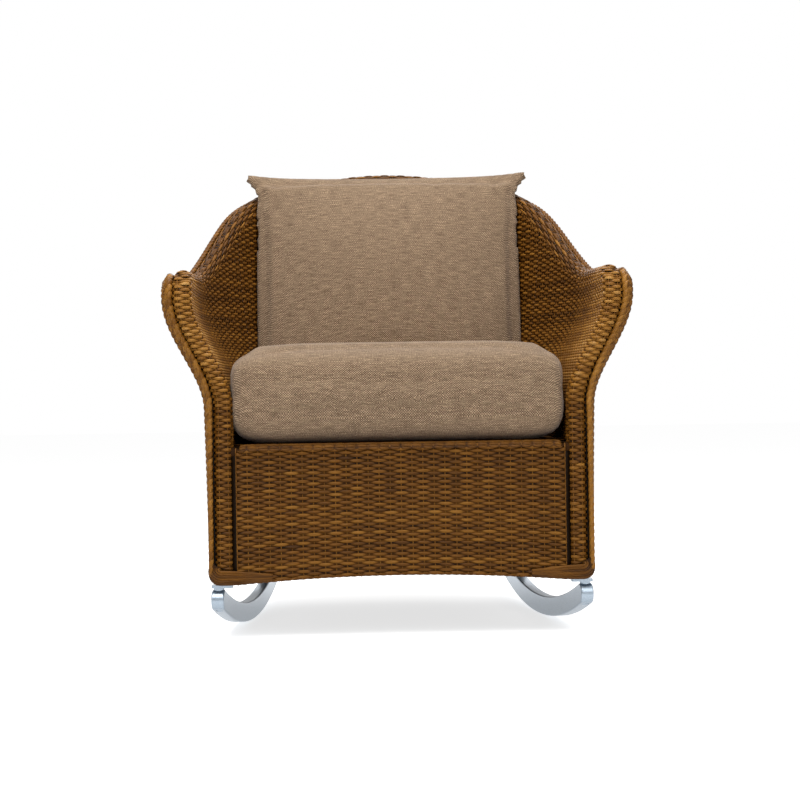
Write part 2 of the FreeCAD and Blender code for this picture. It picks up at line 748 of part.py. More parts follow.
def bar_outline(sketch):
    """Two arcs about one centre, closed by a half round at each end."""
    bend = size("rocker_bend")
    middle = Vector(contact_along, bend, 0)
    centre_bend = bend - nose
    # at the chair's own front and rear the bar's ends reach its full level length
    reach = bar_half - nose - size("rocker_width") / 2 * sin(toe_angle)
    turns = [asin((end * reach - contact_along) / centre_bend) - pi / 2 for end in (-1, 1)]
    ends = [middle + Vector(cos(t), sin(t), 0) * centre_bend for t in turns]
    circles = [Part.Circle(middle, UP, bend), Part.Circle(middle, UP, bend - 2 * nose)]
    for circle in circles:
        sketch.addGeometry(Part.ArcOfCircle(circle, turns[0], turns[1]), False)
    for end, turn, start in ((ends[0], turns[0], turns[0] - pi), (ends[1], turns[1], turns[1])):
        tip = Part.Circle(end, UP, nose)
        sketch.addGeometry(Part.ArcOfCircle(tip, start, start + pi), False)
    expressions = ("sizes.rocker_bend", "sizes.rocker_bend - sizes.rocker_height")
    for index, (circle, expression) in enumerate(zip(circles, expressions)):
        place = sketch.addConstraint(Sketcher.Constraint("Radius", index, circle.Radius))
        sketch.renameConstraint(place, "bend_%d" % index)
        sketch.setExpression("Constraints.bend_%d" % index, expression)


# the radii of the bar's bores, by the expression that binds each
bore_radii = {
    "sizes.bolt_radius + sizes.bolt_play": size("bolt_radius") + size("bolt_play"),
    "sizes.head_radius + sizes.bolt_play": size("head_radius") + size("bolt_play"),
}


def bored(body, name, radius, reach):
    """Bores the bar upward from its rolling edge at both bolts, as deep as reach says."""
    for i, along in enumerate(foot_alongs):
        sketch = new_sketch(body, "%s_%d" % (name, i), "XY_Plane")
        bound_circle(sketch, Vector(0, along, 0), radius, bore_radii[radius])
        pocket = body.newObject("PartDesign::Pocket", "%s_pocket_%d" % (name, i))
        pocket.Profile = sketch
        pocket.Reversed = True
        pocket.Length = reach(along)
        doc.recompute()


def rocker_bar():
    """The right-hand rocker bar."""
    body = doc.addObject("PartDesign::Body", "rocker_body")
    sketch = new_sketch(body, "rocker_outline", "YZ_Plane")
    bar_outline(sketch)
    pad = body.newObject("PartDesign::Pad", "rocker_pad")
    pad.Profile = sketch
    pad.setExpression("Length", "sizes.rocker_width")
    sketch.AttachmentOffset.Base = Vector(0, 0, -size("rocker_width") / 2)
    sketch.setExpression("AttachmentOffset.Base.z", "-sizes.rocker_width / 2")
    doc.recompute()
    fillet = body.newObject("PartDesign::Fillet", "rocker_edges")
    side_edges = []
    for number, edge in enumerate(pad.Shape.Edges, start=1):
        if edge.BoundBox.XLength < size("rocker_edge") / 2:
            side_edges.append("Edge%d" % number)
    fillet.Base = (pad, side_edges)
    fillet.setExpression("Radius", "sizes.rocker_edge")
    doc.recompute()
    whole = body.Shape.Volume
    bored(
        body, "bolt_bore", "sizes.bolt_radius + sizes.bolt_play",
        lambda along: size("rocker_bend"),
    )
    bored(
        body, "head_bore", "sizes.head_radius + sizes.bolt_play",
        lambda along: edge_height(along, size("rocker_bend")) + size("head_depth"),
    )
    if body.Shape.Volume >= whole:
        raise ValueError("the bores of the rocker bar cut nothing")
    body.Placement = bar_place
    doc.recompute()
    return body


rocker = rocker_bar()
keep_mirrored("rocker", rocker)
rocker_shape = rocker.Shape.copy()


def upright_edges_of(box):
    """The edges of a box that stand upright."""
    return [e for e in box.Edges if e.BoundBox.ZLength > e.BoundBox.DiagonalLength / 2]


# Foot plates, spacers and bolts between the posts and the bars.
foot_heights = (size("base_height"), size("rear_foot_height"))
post_halves = (size("base_half"), size("rear_post_half"))
plates, spacers, bolts = [], [], []
for along, post_half, depth, height in zip(foot_alongs, post_halves, FOOT_DEPTHS, foot_heights):
    hole = bar_place.multVec(Vector(0, along, 0))
    plate_low = height - size("plate_thickness")
    plate = Part.makeBox(
        size("plate_width"), size("plate_depth"), size("plate_thickness"),
        Vector(
            (hole.x + post_half) / 2 - size("plate_width") / 2,
            depth - size("plate_depth") / 2,
            plate_low,
        ),
    )
    plate = plate.makeFillet(size("plate_corner"), upright_edges_of(plate))
    bore_foot = Vector(hole.x, hole.y, 0)
    bore = Part.makeCylinder(size("bolt_radius") + size("bolt_play"), size("arm_height"), bore_foot)
    plates.append(plate.cut(bore))
    rolling = edge_height(along, size("rocker_bend"))
    spacer_low = rolling + size("rocker_height") / 2
    spacer = Part.makeCylinder(
        size("spacer_radius"), plate_low - spacer_low, Vector(hole.x, hole.y, spacer_low)
    )
    trimmed = less(spacer, [rocker_shape, bore])
    spacers.append(max(trimmed.Solids, key=lambda solid: solid.CenterOfMass.z))
    head_top = rolling + size("head_depth")
    head = Part.makeCylinder(
        size("head_radius"), size("head_height"),
        Vector(hole.x, hole.y, head_top - size("head_height")),
    )
    shank = Part.makeCylinder(
        size("bolt_radius"), height - head_top, Vector(hole.x, hole.y, head_top)
    )
    bolts.append(head.fuse(shank))


def both_sides(shapes):
    """Right-hand solids and their mirror images, as one group."""
    return Part.makeCompound(shapes + [mirrored(shape) for shape in shapes])


keep_shape("foot_plates", both_sides(plates))
keep_shape("rocker_spacers", both_sides(spacers))
keep_shape("rocker_bolts", both_sides(bolts))

print("rockers done")

# Cushions. The seat cushion is a stack of level outlines: its sides are drawn in between the
# corners, its lower edge is rounded and its top rises to a crown.
seat_height_shares = [0.0, 0.05, 0.13, 0.24, 0.45, 0.68, 0.79, 0.87, 0.925, 0.96, 0.985, 1.0]
seat_inset_shares = [0.21, 0.1, 0.03, 0.0, 0.0, 0.0, 0.02, 0.08, 0.18, 0.34, 0.58, 0.95]


def level_outline(z, inset, half_front, half_rear, front, rear, draw, corners):
    """A closed level wire of four drawn-in sides and four round corners."""
    xf = half_front - inset
    xr = half_rear - inset
    yf = front + inset
    yr = rear - inset
    rf, rr = corners
    xm = (xf + xr) / 2 - draw
    ym = (yf + rf + yr - rr) / 2
    diagonal = 1 - sqrt(1 / 2)
    places = [
        (Vector(-xf + rf, yf, z), Vector(0, yf + draw, z), Vector(xf - rf, yf, z)),
        (None, Vector(xf - rf * diagonal, yf + rf * diagonal, z), Vector(xf, yf + rf, z)),
        (None, Vector(xm, ym, z), Vector(xr, yr - rr, z)),
        (None, Vector(xr - rr * diagonal, yr - rr * diagonal, z), Vector(xr - rr, yr, z)),
        (None, Vector(0, yr - draw, z), Vector(-xr + rr, yr, z)),
        (None, Vector(-xr + rr * diagonal, yr - rr * diagonal, z), Vector(-xr, yr - rr, z)),
        (None, Vector(-xm, ym, z), Vector(-xf, yf + rf, z)),
        (None, Vector(-xf + rf * diagonal, yf + rf * diagonal, z), Vector(-xf + rf, yf, z)),
    ]
    start = places[0][0]
    edges = []
    for _, through, end in places:
        edges.append(Part.Arc(start, through, end).toShape())
        start = end
    return Part.Wire(edges)


def seat_form(shrink):
    """The seat cushion's form, drawn in all round by shrink."""
    low = size("deck_height") + size("fit_gap") + shrink
    tall = size("seat_thickness") - 2 * shrink
    levels = []
    for height_share, inset_share in zip(seat_height_shares, seat_inset_shares):
        spread = inset_share * size("seat_thickness")
        blend = inset_share / seat_inset_shares[-1]
        corners = [
            size(corner) + (size("seat_crown_corner") - size(corner)) * blend
            for corner in ("seat_front_corner", "seat_rear_corner")
        ]
        levels.append(
            level_outline(
                low + tall * height_share, spread + shrink,
                size("seat_half"), size("seat_rear_half"),
                size("seat_front"), size("seat_rear"), size("seat_draw"), corners,
            )
        )
    return Part.makeLoft(levels, True, False)


# The back cushion is a pillow with a seam all round, bowed to lie in the barrel.
pillow_height_shares = [0.0, 0.03, 0.09, 0.2, 0.36, 0.55, 0.73, 0.86, 0.94, 0.98, 1.0]
pillow_half_shares = [0.95, 0.95, 0.955, 0.965, 0.97, 0.97, 0.96, 0.955, 0.965, 0.985, 1.005]
pillow_fill_shares = [0.0, 0.3, 0.6, 0.86, 1.0, 1.0, 0.87, 0.64, 0.4, 0.2, 0.0]


# how suddenly the upper corners stand out
ear_power = 6


def pillow_section(height_share, half_share, fill_share, shrink):
    """One level section: a front and a rear arc that meet the seam's short ends."""
    low = size("deck_height") + size("fit_gap") + shrink
    z = low + (size("pillow_top") - shrink - low) * height_share
    ear = size("pillow_ear") * height_share ** ear_power
    half = size("pillow_half") * half_share + ear - shrink
    seam = size("pillow_foot_depth") + size("pillow_lean") * height_share
    middle = seam + size("pillow_bow")
    edge = size("pillow_seam") / 2 - shrink
    front = middle - edge - (size("pillow_front") - size("pillow_seam") / 2) * fill_share
    rear = middle + edge + (size("pillow_rear") - size("pillow_seam") / 2) * fill_share
    corners = [
        Vector(-half, seam - edge, z), Vector(half, seam - edge, z),
        Vector(half, seam + edge, z), Vector(-half, seam + edge, z),
    ]
    edges = [
        Part.Arc(corners[0], Vector(0, front, z), corners[1]).toShape(),
        Part.LineSegment(corners[1], corners[2]).toShape(),
        Part.Arc(corners[2], Vector(0, rear, z), corners[3]).toShape(),
        Part.LineSegment(corners[3], corners[0]).toShape(),
    ]
    return Part.Wire(edges)


def pillow_form(shrink):
    """The back cushion's form, drawn in all round by shrink."""
    shares = zip(pillow_height_shares, pillow_half_shares, pillow_fill_shares)
    return Part.makeLoft([pillow_section(*three, shrink) for three in shares], True, False)


cavity = size("cover_thickness")
core_inset = cavity + size("fit_gap")
for name, form in (("seat_cushion", seat_form), ("back_cushion", pillow_form)):
    keep_shape(name + "_cover", form(0).cut(form(cavity)))
    keep_shape(name + "_core", form(core_inset))

print("cushions done")

# Every object and every finished shape is tested before anything is written.
doc.recompute()
for item in doc.Objects:
    if "Invalid" in item.State or "Error" in item.State:
        raise ValueError("object %s failed: %s" % (item.Label, item.State))
for name, item in nodes.items():
    if item.Shape.isNull() or not item.Shape.isValid() or not item.Shape.Solids:
        raise ValueError("sub-part %s has no valid solid" % name)

os.makedirs("parts", exist_ok=True)
for name, item in nodes.items():
    item.Shape.exportStep("parts/%s.step" % name)
    box = item.Shape.BoundBox
    corners = [round(v, 1) for v in (box.XMin, box.XMax, box.YMin, box.YMax, box.ZMin, box.ZMax)]
    print(name, len(item.Shape.Solids), round(item.Shape.Volume / 1000, 1), corners)
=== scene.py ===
"""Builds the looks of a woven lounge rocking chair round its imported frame.

All lengths are in metres. The chair's front faces -Y, its right-hand side as seen from the
front has +X, and the origin lies on the floor under the middle of the chair.

A place round the woven shell is a cell number q, which counts the stakes from the left
arm's front (0) round the back to the right arm's front (CELLS). Numbers below 0 and above
CELLS go on round the front posts. Rows of strands are woven over and under those stakes.
"""

import logging
from collections.abc import Callable, Iterable
from dataclasses import dataclass, field
from enum import Enum
from math import pi, radians

import bpy
import numpy as np
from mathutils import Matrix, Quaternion, Vector


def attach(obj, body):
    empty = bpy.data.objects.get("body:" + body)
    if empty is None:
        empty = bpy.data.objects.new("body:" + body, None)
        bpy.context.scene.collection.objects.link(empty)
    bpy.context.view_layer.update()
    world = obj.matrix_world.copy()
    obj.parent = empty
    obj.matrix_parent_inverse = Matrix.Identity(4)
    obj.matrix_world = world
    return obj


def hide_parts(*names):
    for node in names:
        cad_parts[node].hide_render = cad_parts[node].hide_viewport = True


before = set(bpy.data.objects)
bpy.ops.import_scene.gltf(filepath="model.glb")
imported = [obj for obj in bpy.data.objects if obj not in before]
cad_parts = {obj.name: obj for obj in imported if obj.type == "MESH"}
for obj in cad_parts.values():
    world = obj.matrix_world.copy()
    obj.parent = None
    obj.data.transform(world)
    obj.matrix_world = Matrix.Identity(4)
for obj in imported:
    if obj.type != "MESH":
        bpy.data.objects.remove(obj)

log = logging.getLogger("rocking_chair")

Array = np.ndarray
Surface = Callable[[Array], tuple[Array, Array]]

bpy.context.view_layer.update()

# The plan of the shell at stations 0 (front of an arm) to 8 (middle of the back). Each
# share is of the size named beside it in Barrel.
RAIL_ACROSS = (1.0, 1.003, 1.0, 0.978, 0.906, 0.818, 0.678, 0.377, 0.0)
RAIL_DEPTH = (0.047, 0.168, 0.325, 0.482, 0.613, 0.724, 0.848, 0.959, 1.0)
RAIL_RISE = (0.0, 0.01, 0.02, 0.055, 0.275, 0.55, 0.78, 0.93, 1.0)
BASE_ACROSS = (1.0, 1.0, 0.998, 0.992, 0.981, 0.94, 0.829, 0.459, 0.0)
BASE_DEPTH = (0.0, 0.177, 0.343, 0.51, 0.648, 0.766, 0.87, 0.97, 1.0)
DECK_ACROSS = (1.0, 1.0, 0.997, 0.987, 0.965, 0.896, 0.734, 0.396, 0.0)
DECK_DEPTH = (0.0, 0.198, 0.384, 0.57, 0.717, 0.848, 0.944, 0.988, 1.0)
STRAIGHT = (0.0, 0.0, 0.0, 0.1, 0.3, 0.5, 0.7, 0.9, 1.0)
STATIONS = 16

CELLS = 112
FOLD_CELLS = 3
ROW_PITCH = 0.0053
FIRST_ROW = 0.1016
DECK_ROW = 47
OFFSET = 0.0158
WAVE = 0.0014
STRAND_HALF = 0.00282
STRAND_SWELL = 0.16
STRAND_DEPTH = 0.00115
TUCK = 0.004
BESIDE_STAKE = np.array([-0.27, 0.0, 0.27])

# The dark sheets behind the strands, painted shade for the hidden inside: how far behind,
# how thick, and the radii of the strip that closes the seam beside a plait.
BACKING = 0.0036
SHEET = 0.0008
SEAM = (0.0145, 0.0225)


def unit(vectors: Array) -> Array:
    """Vectors scaled to length one, by row."""
    return vectors / np.linalg.norm(vectors, axis=-1, keepdims=True)


def eased(part: Array) -> Array:
    """A share from 0 to 1 that starts and ends level: 3t^2 - 2t^3."""
    part = np.clip(part, 0.0, 1.0)
    return part * part * (3 - 2 * part)


class Curve:
    """A smooth curve through points at whole-number parameters.

    A cubic spline with C2 joints: the slopes m solve m[i-1] + 4 m[i] + m[i+1] =
    3 (p[i+1] - p[i-1]). The end slopes come from the cubic through the four end points.
    """

    def __init__(self, points: Array) -> None:
        self.points = points
        count = len(points)
        system = np.eye(count)
        right = np.zeros_like(points)
        ends = np.array([-11.0, 18.0, -9.0, 2.0]) / 6
        right[0] = ends @ points[:4]
        right[-1] = -(ends @ points[::-1][:4])
        for i in range(1, count - 1):
            system[i, i - 1:i + 2] = (1, 4, 1)
            right[i] = 3 * (points[i + 1] - points[i - 1])
        self.slopes = np.linalg.solve(system, right)

    def _parts(self, place: Array) -> tuple[Array, ...]:
        """The span's share and its end points and slopes for each place."""
        place = np.clip(np.asarray(place, float), 0, len(self.points) - 1)
        low = np.minimum(place.astype(int), len(self.points) - 2)
        share = (place - low)[:, None]
        return (
            share, self.points[low], self.points[low + 1], self.slopes[low], self.slopes[low + 1]
        )

    def at(self, place: Array) -> Array:
        """Points on the curve, by Hermite's formula."""
        t, p, q, m, n = self._parts(place)
        return (
            (2 * t**3 - 3 * t**2 + 1) * p + (t**3 - 2 * t**2 + t) * m
            + (3 * t**2 - 2 * t**3) * q + (t**3 - t**2) * n
        )

    def along(self, place: Array) -> Array:
        """Unit tangents of the curve."""
        t, p, q, m, n = self._parts(place)
        slope = (
            (6 * t**2 - 6 * t) * (p - q) + (3 * t**2 - 4 * t + 1) * m + (3 * t**2 - 2 * t) * n
        )
        return unit(slope)

    def outward(self, place: Array) -> Array:
        """Level unit vectors square to the curve's plan, away from the seat."""
        along = self.along(place)
        return unit(np.stack([-along[:, 1], along[:, 0], np.zeros(len(along))], axis=1))


@dataclass(frozen=True)
class Barrel:
    """The sizes of the woven shell and the surfaces that strands lie on."""

    arm_half: float = 0.386
    arm_height: float = 0.6465
    crown_height: float = 0.8865
    crown_depth: float = 0.786
    base_half: float = 0.316
    post_depth: float = 0.022
    base_depth: float = 0.746
    deck_rear: float = 0.668
    flare_height: float = 0.415
    base_height: float = 0.099
    deck_height: float = 0.349
    bend: float = 0.0359
    middle: float = 0.421
    flare_end: float = 0.85

    def plan(
        self, across: tuple[float, ...], depth: tuple[float, ...], rise: tuple[float, ...],
        half: float, rear: float, low: float, high: float,
    ) -> Curve:
        """A curve round the whole plan, from the left arm's front to the right arm's."""
        a, d, r = (np.array(shares) for shares in (across, depth, rise))
        y = self.post_depth + (rear - self.post_depth) * d - self.middle
        z = low + (high - low) * r
        left = np.stack([-half * a, y, z], axis=1)
        right = np.stack([half * a, y, z], axis=1)
        return Curve(np.concatenate([left, right[-2::-1]]))

    @property
    def rail(self) -> Curve:
        """The middle of the tube round the rim."""
        return self.plan(
            RAIL_ACROSS, RAIL_DEPTH, RAIL_RISE,
            self.arm_half, self.crown_depth, self.arm_height, self.crown_height,
        )

    @property
    def base(self) -> Curve:
        """The foot of the outer weave."""
        return self.plan(
            BASE_ACROSS, BASE_DEPTH, (0.0,) * 9,
            self.base_half, self.base_depth, self.base_height, self.base_height,
        )

    @property
    def deck(self) -> Curve:
        """The foot of the inner weave."""
        return self.plan(
            DECK_ACROSS, DECK_DEPTH, (0.0,) * 9,
            self.base_half, self.deck_rear, self.deck_height, self.deck_height,
        )


class Shell:
    """Places on the woven shell by cell number and height."""

    def __init__(self, sizes: Barrel) -> None:
        self.sizes = sizes
        self.rail, self.base, self.deck = sizes.rail, sizes.base, sizes.deck
        dense = np.linspace(0, STATIONS, 1601)
        plans = [curve.at(dense)[:, :2] for curve in (self.rail, self.base, self.deck)]
        steps = sum(np.linalg.norm(np.diff(plan, axis=0), axis=1) for plan in plans)
        length = np.concatenate([[0.0], np.cumsum(steps)])
        self.cells = np.linspace(0, CELLS, 2001)
        self.stations = np.interp(self.cells / CELLS * length[-1], length, dense)
        self.bend_foot = sizes.arm_height - sizes.bend

    def station(self, q: Array) -> Array:
        """The station of a cell number, with both ends held."""
        return np.interp(q, self.cells, self.stations)

    def cell(self, station: Array) -> Array:
        """The cell number of a station."""
        return np.interp(station, self.stations, self.cells)

    def lean(self, z: Array, top: Array) -> Array:
        """How far out the arm has leaned at a height, from 0 to 1."""
        low = self.sizes.flare_height
        return eased((z - low) / (top - low) / self.sizes.flare_end)

    def turned(self, z: Array, reach: Array | float) -> tuple[Array, Array]:
        """Sine and cosine of how far the bend at an arm's front has turned at a height."""
        sine = np.clip((z - self.bend_foot) / reach, 0.0, 1.0)
        return sine, np.sqrt(1 - sine**2)

    def wall(self, curve: Curve, q: Array, z: Array) -> tuple[Array, Array]:
        """The shell's middle and its level outward direction."""
        s = self.station(q)
        foot, top = curve.at(s), self.rail.at(s)
        end = np.clip(1 - np.minimum(s, STATIONS - s), 0, 1)
        top[:, 1] -= self.sizes.bend * end
        straight = np.interp(np.minimum(s, STATIONS - s), np.arange(9), STRAIGHT)
        climbed = (z - foot[:, 2]) / (top[:, 2] - foot[:, 2])
        leaned = (1 - straight) * self.lean(z, top[:, 2]) + straight * climbed
        middle = foot + (top - foot) * leaned[:, None]
        middle[:, 2] = z
        _, cosine = self.turned(z, self.sizes.bend)
        front = middle[:, 1] + self.sizes.middle - self.sizes.post_depth
        near = np.clip(1 - front / 0.12, 0, 1)
        middle[:, 1] += self.sizes.bend * (1 - cosine) * near
        return middle, curve.outward(s)

    def post(self, side: Array | int, turn: Array, z: Array, radius: float) -> tuple[Array, Array]:
        """Places round a front post. A turn of 0 faces out, pi/2 faces the front."""
        sizes = self.sizes
        half = sizes.base_half + (sizes.arm_half - sizes.base_half) * self.lean(
            z, np.full_like(z, sizes.arm_height)
        )
        sine, cosine = self.turned(z, sizes.bend + radius * np.sin(turn))
        y = sizes.post_depth + sizes.bend - sizes.middle
        y = y - (sizes.bend + radius * np.sin(turn)) * cosine
        points = np.stack([side * (half + radius * np.cos(turn)), y, z], axis=1)
        normals = np.stack(
            [side * np.cos(turn), -np.sin(turn) * cosine, np.sin(turn) * sine], axis=1
        )
        return points, normals

    def inner(self, z: float | Array, offset: float = OFFSET) -> Surface:
        """The seat side of the shell at a height, with its folds round both front posts."""

        def place(q: Array) -> tuple[Array, Array]:
            height = np.broadcast_to(np.asarray(z, float), q.shape).copy()
            middle, out = self.wall(self.deck, np.clip(q, 0, CELLS), height)
            fold = np.clip(-q, 0, FOLD_CELLS) + np.clip(q - CELLS, 0, FOLD_CELLS)
            side = np.where(q < CELLS / 2, -1.0, 1.0)
            points, normals = self.post(side, pi - pi * fold / FOLD_CELLS, height, offset)
            folded = (fold > 0)[:, None]
            return (
                np.where(folded, points, middle - out * offset), np.where(folded, normals, -out)
            )

        return place

    def outer(self, z: float | Array, offset: float = OFFSET) -> Surface:
        """The outer side of the shell at a height."""

        def place(q: Array) -> tuple[Array, Array]:
            height = np.broadcast_to(np.asarray(z, float), q.shape).copy()
            middle, out = self.wall(self.base, q, height)
            return middle + out * offset, out

        return place

    def rim(self, turn: float | Array, radius: float = OFFSET) -> Surface:
        """The roll round the rim. A turn of 0 faces out and pi/2 faces up."""

        def place(q: Array) -> tuple[Array, Array]:
            s = self.station(q)
            along, out = self.rail.along(s), self.rail.outward(s)
            up = unit(np.cross(out, along))
            up *= np.sign(up[:, 2:3])
            angle = np.broadcast_to(np.asarray(turn, float), q.shape)[:, None]
            normals = out * np.cos(angle) + up * np.sin(angle)
            return self.rail.at(s) + normals * radius, normals

        return place

    def clip_cell(self, z: float) -> float:
        """The first cell where the rail has passed a height."""
        dense = np.linspace(0, STATIONS / 2, 801)
        heights = np.maximum.accumulate(self.rail.at(dense)[:, 2]) - 0.005
        if z <= heights[0]:
            return 0.0
        return float(self.cell(np.interp(z, heights, dense)))


class Strands:
    """Closed flattened strands gathered into one mesh."""

    def __init__(self, seed: int, sides: int = 5) -> None:
        self.sides = sides
        self.random = np.random.default_rng(seed)
        self.points: list[Array] = []
        self.marks: list[Array] = []
        self.tones: list[Array] = []
        self.lows: list[Array] = []
        self.quads: list[Array] = []
        self.caps: list[Array] = []
        self.count = 0

    def add(
        self, path: Array, normals: Array, half: Array | float, depth: Array | float,
        tone: Array | float | None = None, closed: bool = False, low: Array | float = 0.0,
    ) -> None:
        """Adds one strand.

        Args:
            path: its middle, one row a ring.
            normals: the direction its flat side faces.
            half: half its width.
            depth: half its thickness.
            tone: its shade from 0 to 1, one or a row a ring, or chance.
            closed: whether it runs back into its own start.
            low: how deep it lies behind its neighbours, from 0 to 1, which the material paints as
                shade.
        """
        count, sides = len(path), self.sides
        if closed:
            ahead = np.roll(path, -1, axis=0) - np.roll(path, 1, axis=0)
        else:
            ahead = np.gradient(path, axis=0)
        ahead = unit(ahead)
        across = unit(np.cross(ahead, normals))
        up = np.cross(across, ahead)
        turn = pi / 2 + 2 * pi * np.arange(sides) / sides
        half = np.broadcast_to(half, (count,))[:, None, None]
        depth = np.broadcast_to(depth, (count,))[:, None, None]
        ring = (
            path[:, None, :]
            + across[:, None, :] * half * np.cos(turn)[None, :, None]
            + up[:, None, :] * depth * np.sin(turn)[None, :, None]
        )
        length = np.concatenate([[0.0], np.cumsum(np.linalg.norm(np.diff(path, axis=0), axis=1))])
        mark = np.empty((count, sides, 3))
        mark[:, :, 0] = length[:, None] + self.random.random() * 10
        mark[:, :, 1] = np.cos(turn)
        mark[:, :, 2] = np.sin(turn)
        self.points.append(ring.reshape(-1, 3))
        self.marks.append(mark.reshape(-1, 3))
        shade = self.random.random() if tone is None else tone
        self.tones.append(np.repeat(np.broadcast_to(shade, (count,)), sides))
        self.lows.append(np.repeat(np.broadcast_to(low, (count,)), sides))
        rings = np.arange(count if closed else count - 1)
        i, a = (grid.ravel() for grid in np.meshgrid(rings, np.arange(sides), indexing="ij"))
        j, b = (i + 1) % count, (a + 1) % sides
        quads = np.stack([i * sides + a, j * sides + a, j * sides + b, i * sides + b], axis=1)
        self.quads.append(quads + self.count)
        if not closed:
            start = np.arange(sides)
            self.caps.append(start[None] + self.count)
            self.caps.append((start[::-1] + (count - 1) * sides)[None] + self.count)
        self.count += count * sides

    def back(self, front: Array, rear: Array) -> None:
        """Adds a thin closed dark sheet behind the strands, painted shade for the hidden inside.

        Args:
            front: its front, as rows and columns of points.
            rear: its rear, in the same order.
        """
        rows, columns = front.shape[:2]
        index = np.arange(rows * columns).reshape(rows, columns)
        other = index + rows * columns
        quads = [
            np.stack([i[:-1, :-1], i[:-1, 1:], i[1:, 1:], i[1:, :-1]], axis=-1).reshape(-1, 4)
            for i in (index, other[:, ::-1])
        ]
        rim = np.concatenate([index[0], index[1:, -1], index[-1, -2::-1], index[-2:0:-1, 0]])
        ahead = np.roll(rim, -1)
        walls = np.stack([rim, rim + rows * columns, ahead + rows * columns, ahead], axis=1)
        self.points.append(np.concatenate([front.reshape(-1, 3), rear.reshape(-1, 3)]))
        total = 2 * rows * columns
        self.marks.append(np.zeros((total, 3)))
        self.tones.append(np.full(total, 0.0))
        # Its low of 1.6 paints the sheet in the darkest stop, as shade.
        self.lows.append(np.full(total, 1.6))
        self.quads.append(np.concatenate([*quads, walls]) + self.count)
        self.count += total

    def triangles(self) -> int:
        """How many triangles the strands have."""
        return sum(len(q) for q in self.quads) * 2 + len(self.caps) * (self.sides - 2)

    def to_object(self, name: str) -> bpy.types.Object:
        """The strands as one mesh object, with each point's place on its strand kept."""
        points = np.concatenate(self.points).astype(np.float32)
        quads = np.concatenate(self.quads)
        caps = np.concatenate(self.caps) if self.caps else np.empty((0, self.sides), int)
        loops = np.concatenate([quads.ravel(), caps.ravel()]).astype(np.int32)
        starts = np.concatenate([
            np.arange(len(quads)) * 4, len(quads) * 4 + np.arange(len(caps)) * self.sides
        ]).astype(np.int32)
        mesh = bpy.data.meshes.new(name)
        mesh.vertices.add(len(points))
        mesh.vertices.foreach_set("co", points.ravel())
        mesh.loops.add(len(loops))
        mesh.loops.foreach_set("vertex_index", loops)
        mesh.polygons.add(len(starts))
        mesh.polygons.foreach_set("loop_start", starts)
        mesh.polygons.foreach_set("use_smooth", np.ones(len(starts), bool))
        mesh.update(calc_edges=True)
        for name_of, kind, slot, parts in (
            ("strand", "FLOAT_VECTOR", "vector", self.marks),
            ("tone", "FLOAT", "value", self.tones), ("low", "FLOAT", "value", self.lows),
        ):
            attribute = mesh.attributes.new(name_of, kind, "POINT")
            attribute.data.foreach_set(slot, np.concatenate(parts).astype(np.float32).ravel())
        log.info("%s: %d triangles", name, self.triangles())
        return linked(bpy.data.objects.new(name, mesh))


def linked(item: bpy.types.Object) -> bpy.types.Object:
    """The object, put into the scene."""
    bpy.context.scene.collection.objects.link(item)
    return item


def samples(first: float, last: float) -> Array:
    """Cell numbers that a row passes through: each stake and a place on either side of it."""
    stakes = np.arange(np.floor(first) - 1, np.ceil(last) + 2)
    places = (stakes[:, None] + BESIDE_STAKE).ravel()
    inside = places[(places > first + 0.02) & (places < last - 0.02)]
    return np.concatenate([[first], inside, [last]])


def row_tone(row: int, layer: int) -> float:
    """The shade of one row: most are brown, and a few are clearly lighter or darker."""
    return 0.2 + 0.6 * float(np.random.default_rng(1000 * layer + row).random())


def painted_highlight(place: Array) -> Array:
    """A painted highlight: how much lighter strands are painted on the arms' fronts, where the
    light falls most.
    """
    return 0.55 * eased((place[:, 2] - 0.39) / 0.12) * eased((-0.14 - place[:, 1]) / 0.16)


def crossing(place: Array) -> Array:
    """How far a strand lies over (1) or under (-1) a stake: 1.3 cos(pi place), held level."""
    return np.clip(1.3 * np.cos(pi * place), -1.0, 1.0)


class Layer(Enum):
    """The woven surfaces, which take their rows' shades apart."""

    INNER = 1
    OUTER = 2
    RIM = 3
    APRON = 4
    POST = 5
    DECK = 6


def weave(
    strands: Strands, surface: Surface, first: float, last: float, row: int, layer: Layer,
    tucked: tuple[bool, bool] = (False, False), wave: float = WAVE,
) -> None:
    """Weaves one row of a surface, over one stake and under the next.

    Its height over the surface is wave * crossing(q + row).

    Args:
        strands: the mesh that takes it.
        surface: gives the place and normal of each cell number.
        first: where it starts.
        last: where it ends.
        row: its number, which says where it lies over.
        layer: the woven surface it belongs to.
        tucked: whether each end dips under what borders it.
        wave: how far it rises and dips.
    """
    if last - first < 0.6:
        return
    q = samples(first, last)
    place, normal = surface(q)
    over = crossing(q + row)
    rise = wave * over
    if tucked[0]:
        rise[0] -= TUCK
    if tucked[1]:
        rise[-1] -= TUCK
    half = STRAND_HALF * (1 + STRAND_SWELL * over)
    # The tone takes a painted highlight on the arms' fronts, and low marks the under parts for
    # painted shade.
    strands.add(
        place + normal * rise[:, None], normal, half, STRAND_DEPTH,
        row_tone(row, layer.value) + painted_highlight(place), low=(1 - over) / 2,
    )


def closed_row(
    strands: Strands, place: Array, normal: Array, over: Array, row: int, layer: Layer,
    wave: float = WAVE,
) -> None:
    """Adds one row that runs back into its own start."""
    # The tone takes a painted highlight on the arms' fronts, and low marks the under parts for
    # painted shade.
    strands.add(
        place + normal * (wave * over)[:, None], normal,
        STRAND_HALF * (1 + STRAND_SWELL * over), STRAND_DEPTH,
        row_tone(row, layer.value) + painted_highlight(place), closed=True, low=(1 - over) / 2,
    )


def stake(strands: Strands, place: Array, normal: Array) -> None:
    """Adds one stake, which the rows are woven round."""
    strands.add(place, normal, 0.001, 0.0011, 0.6)


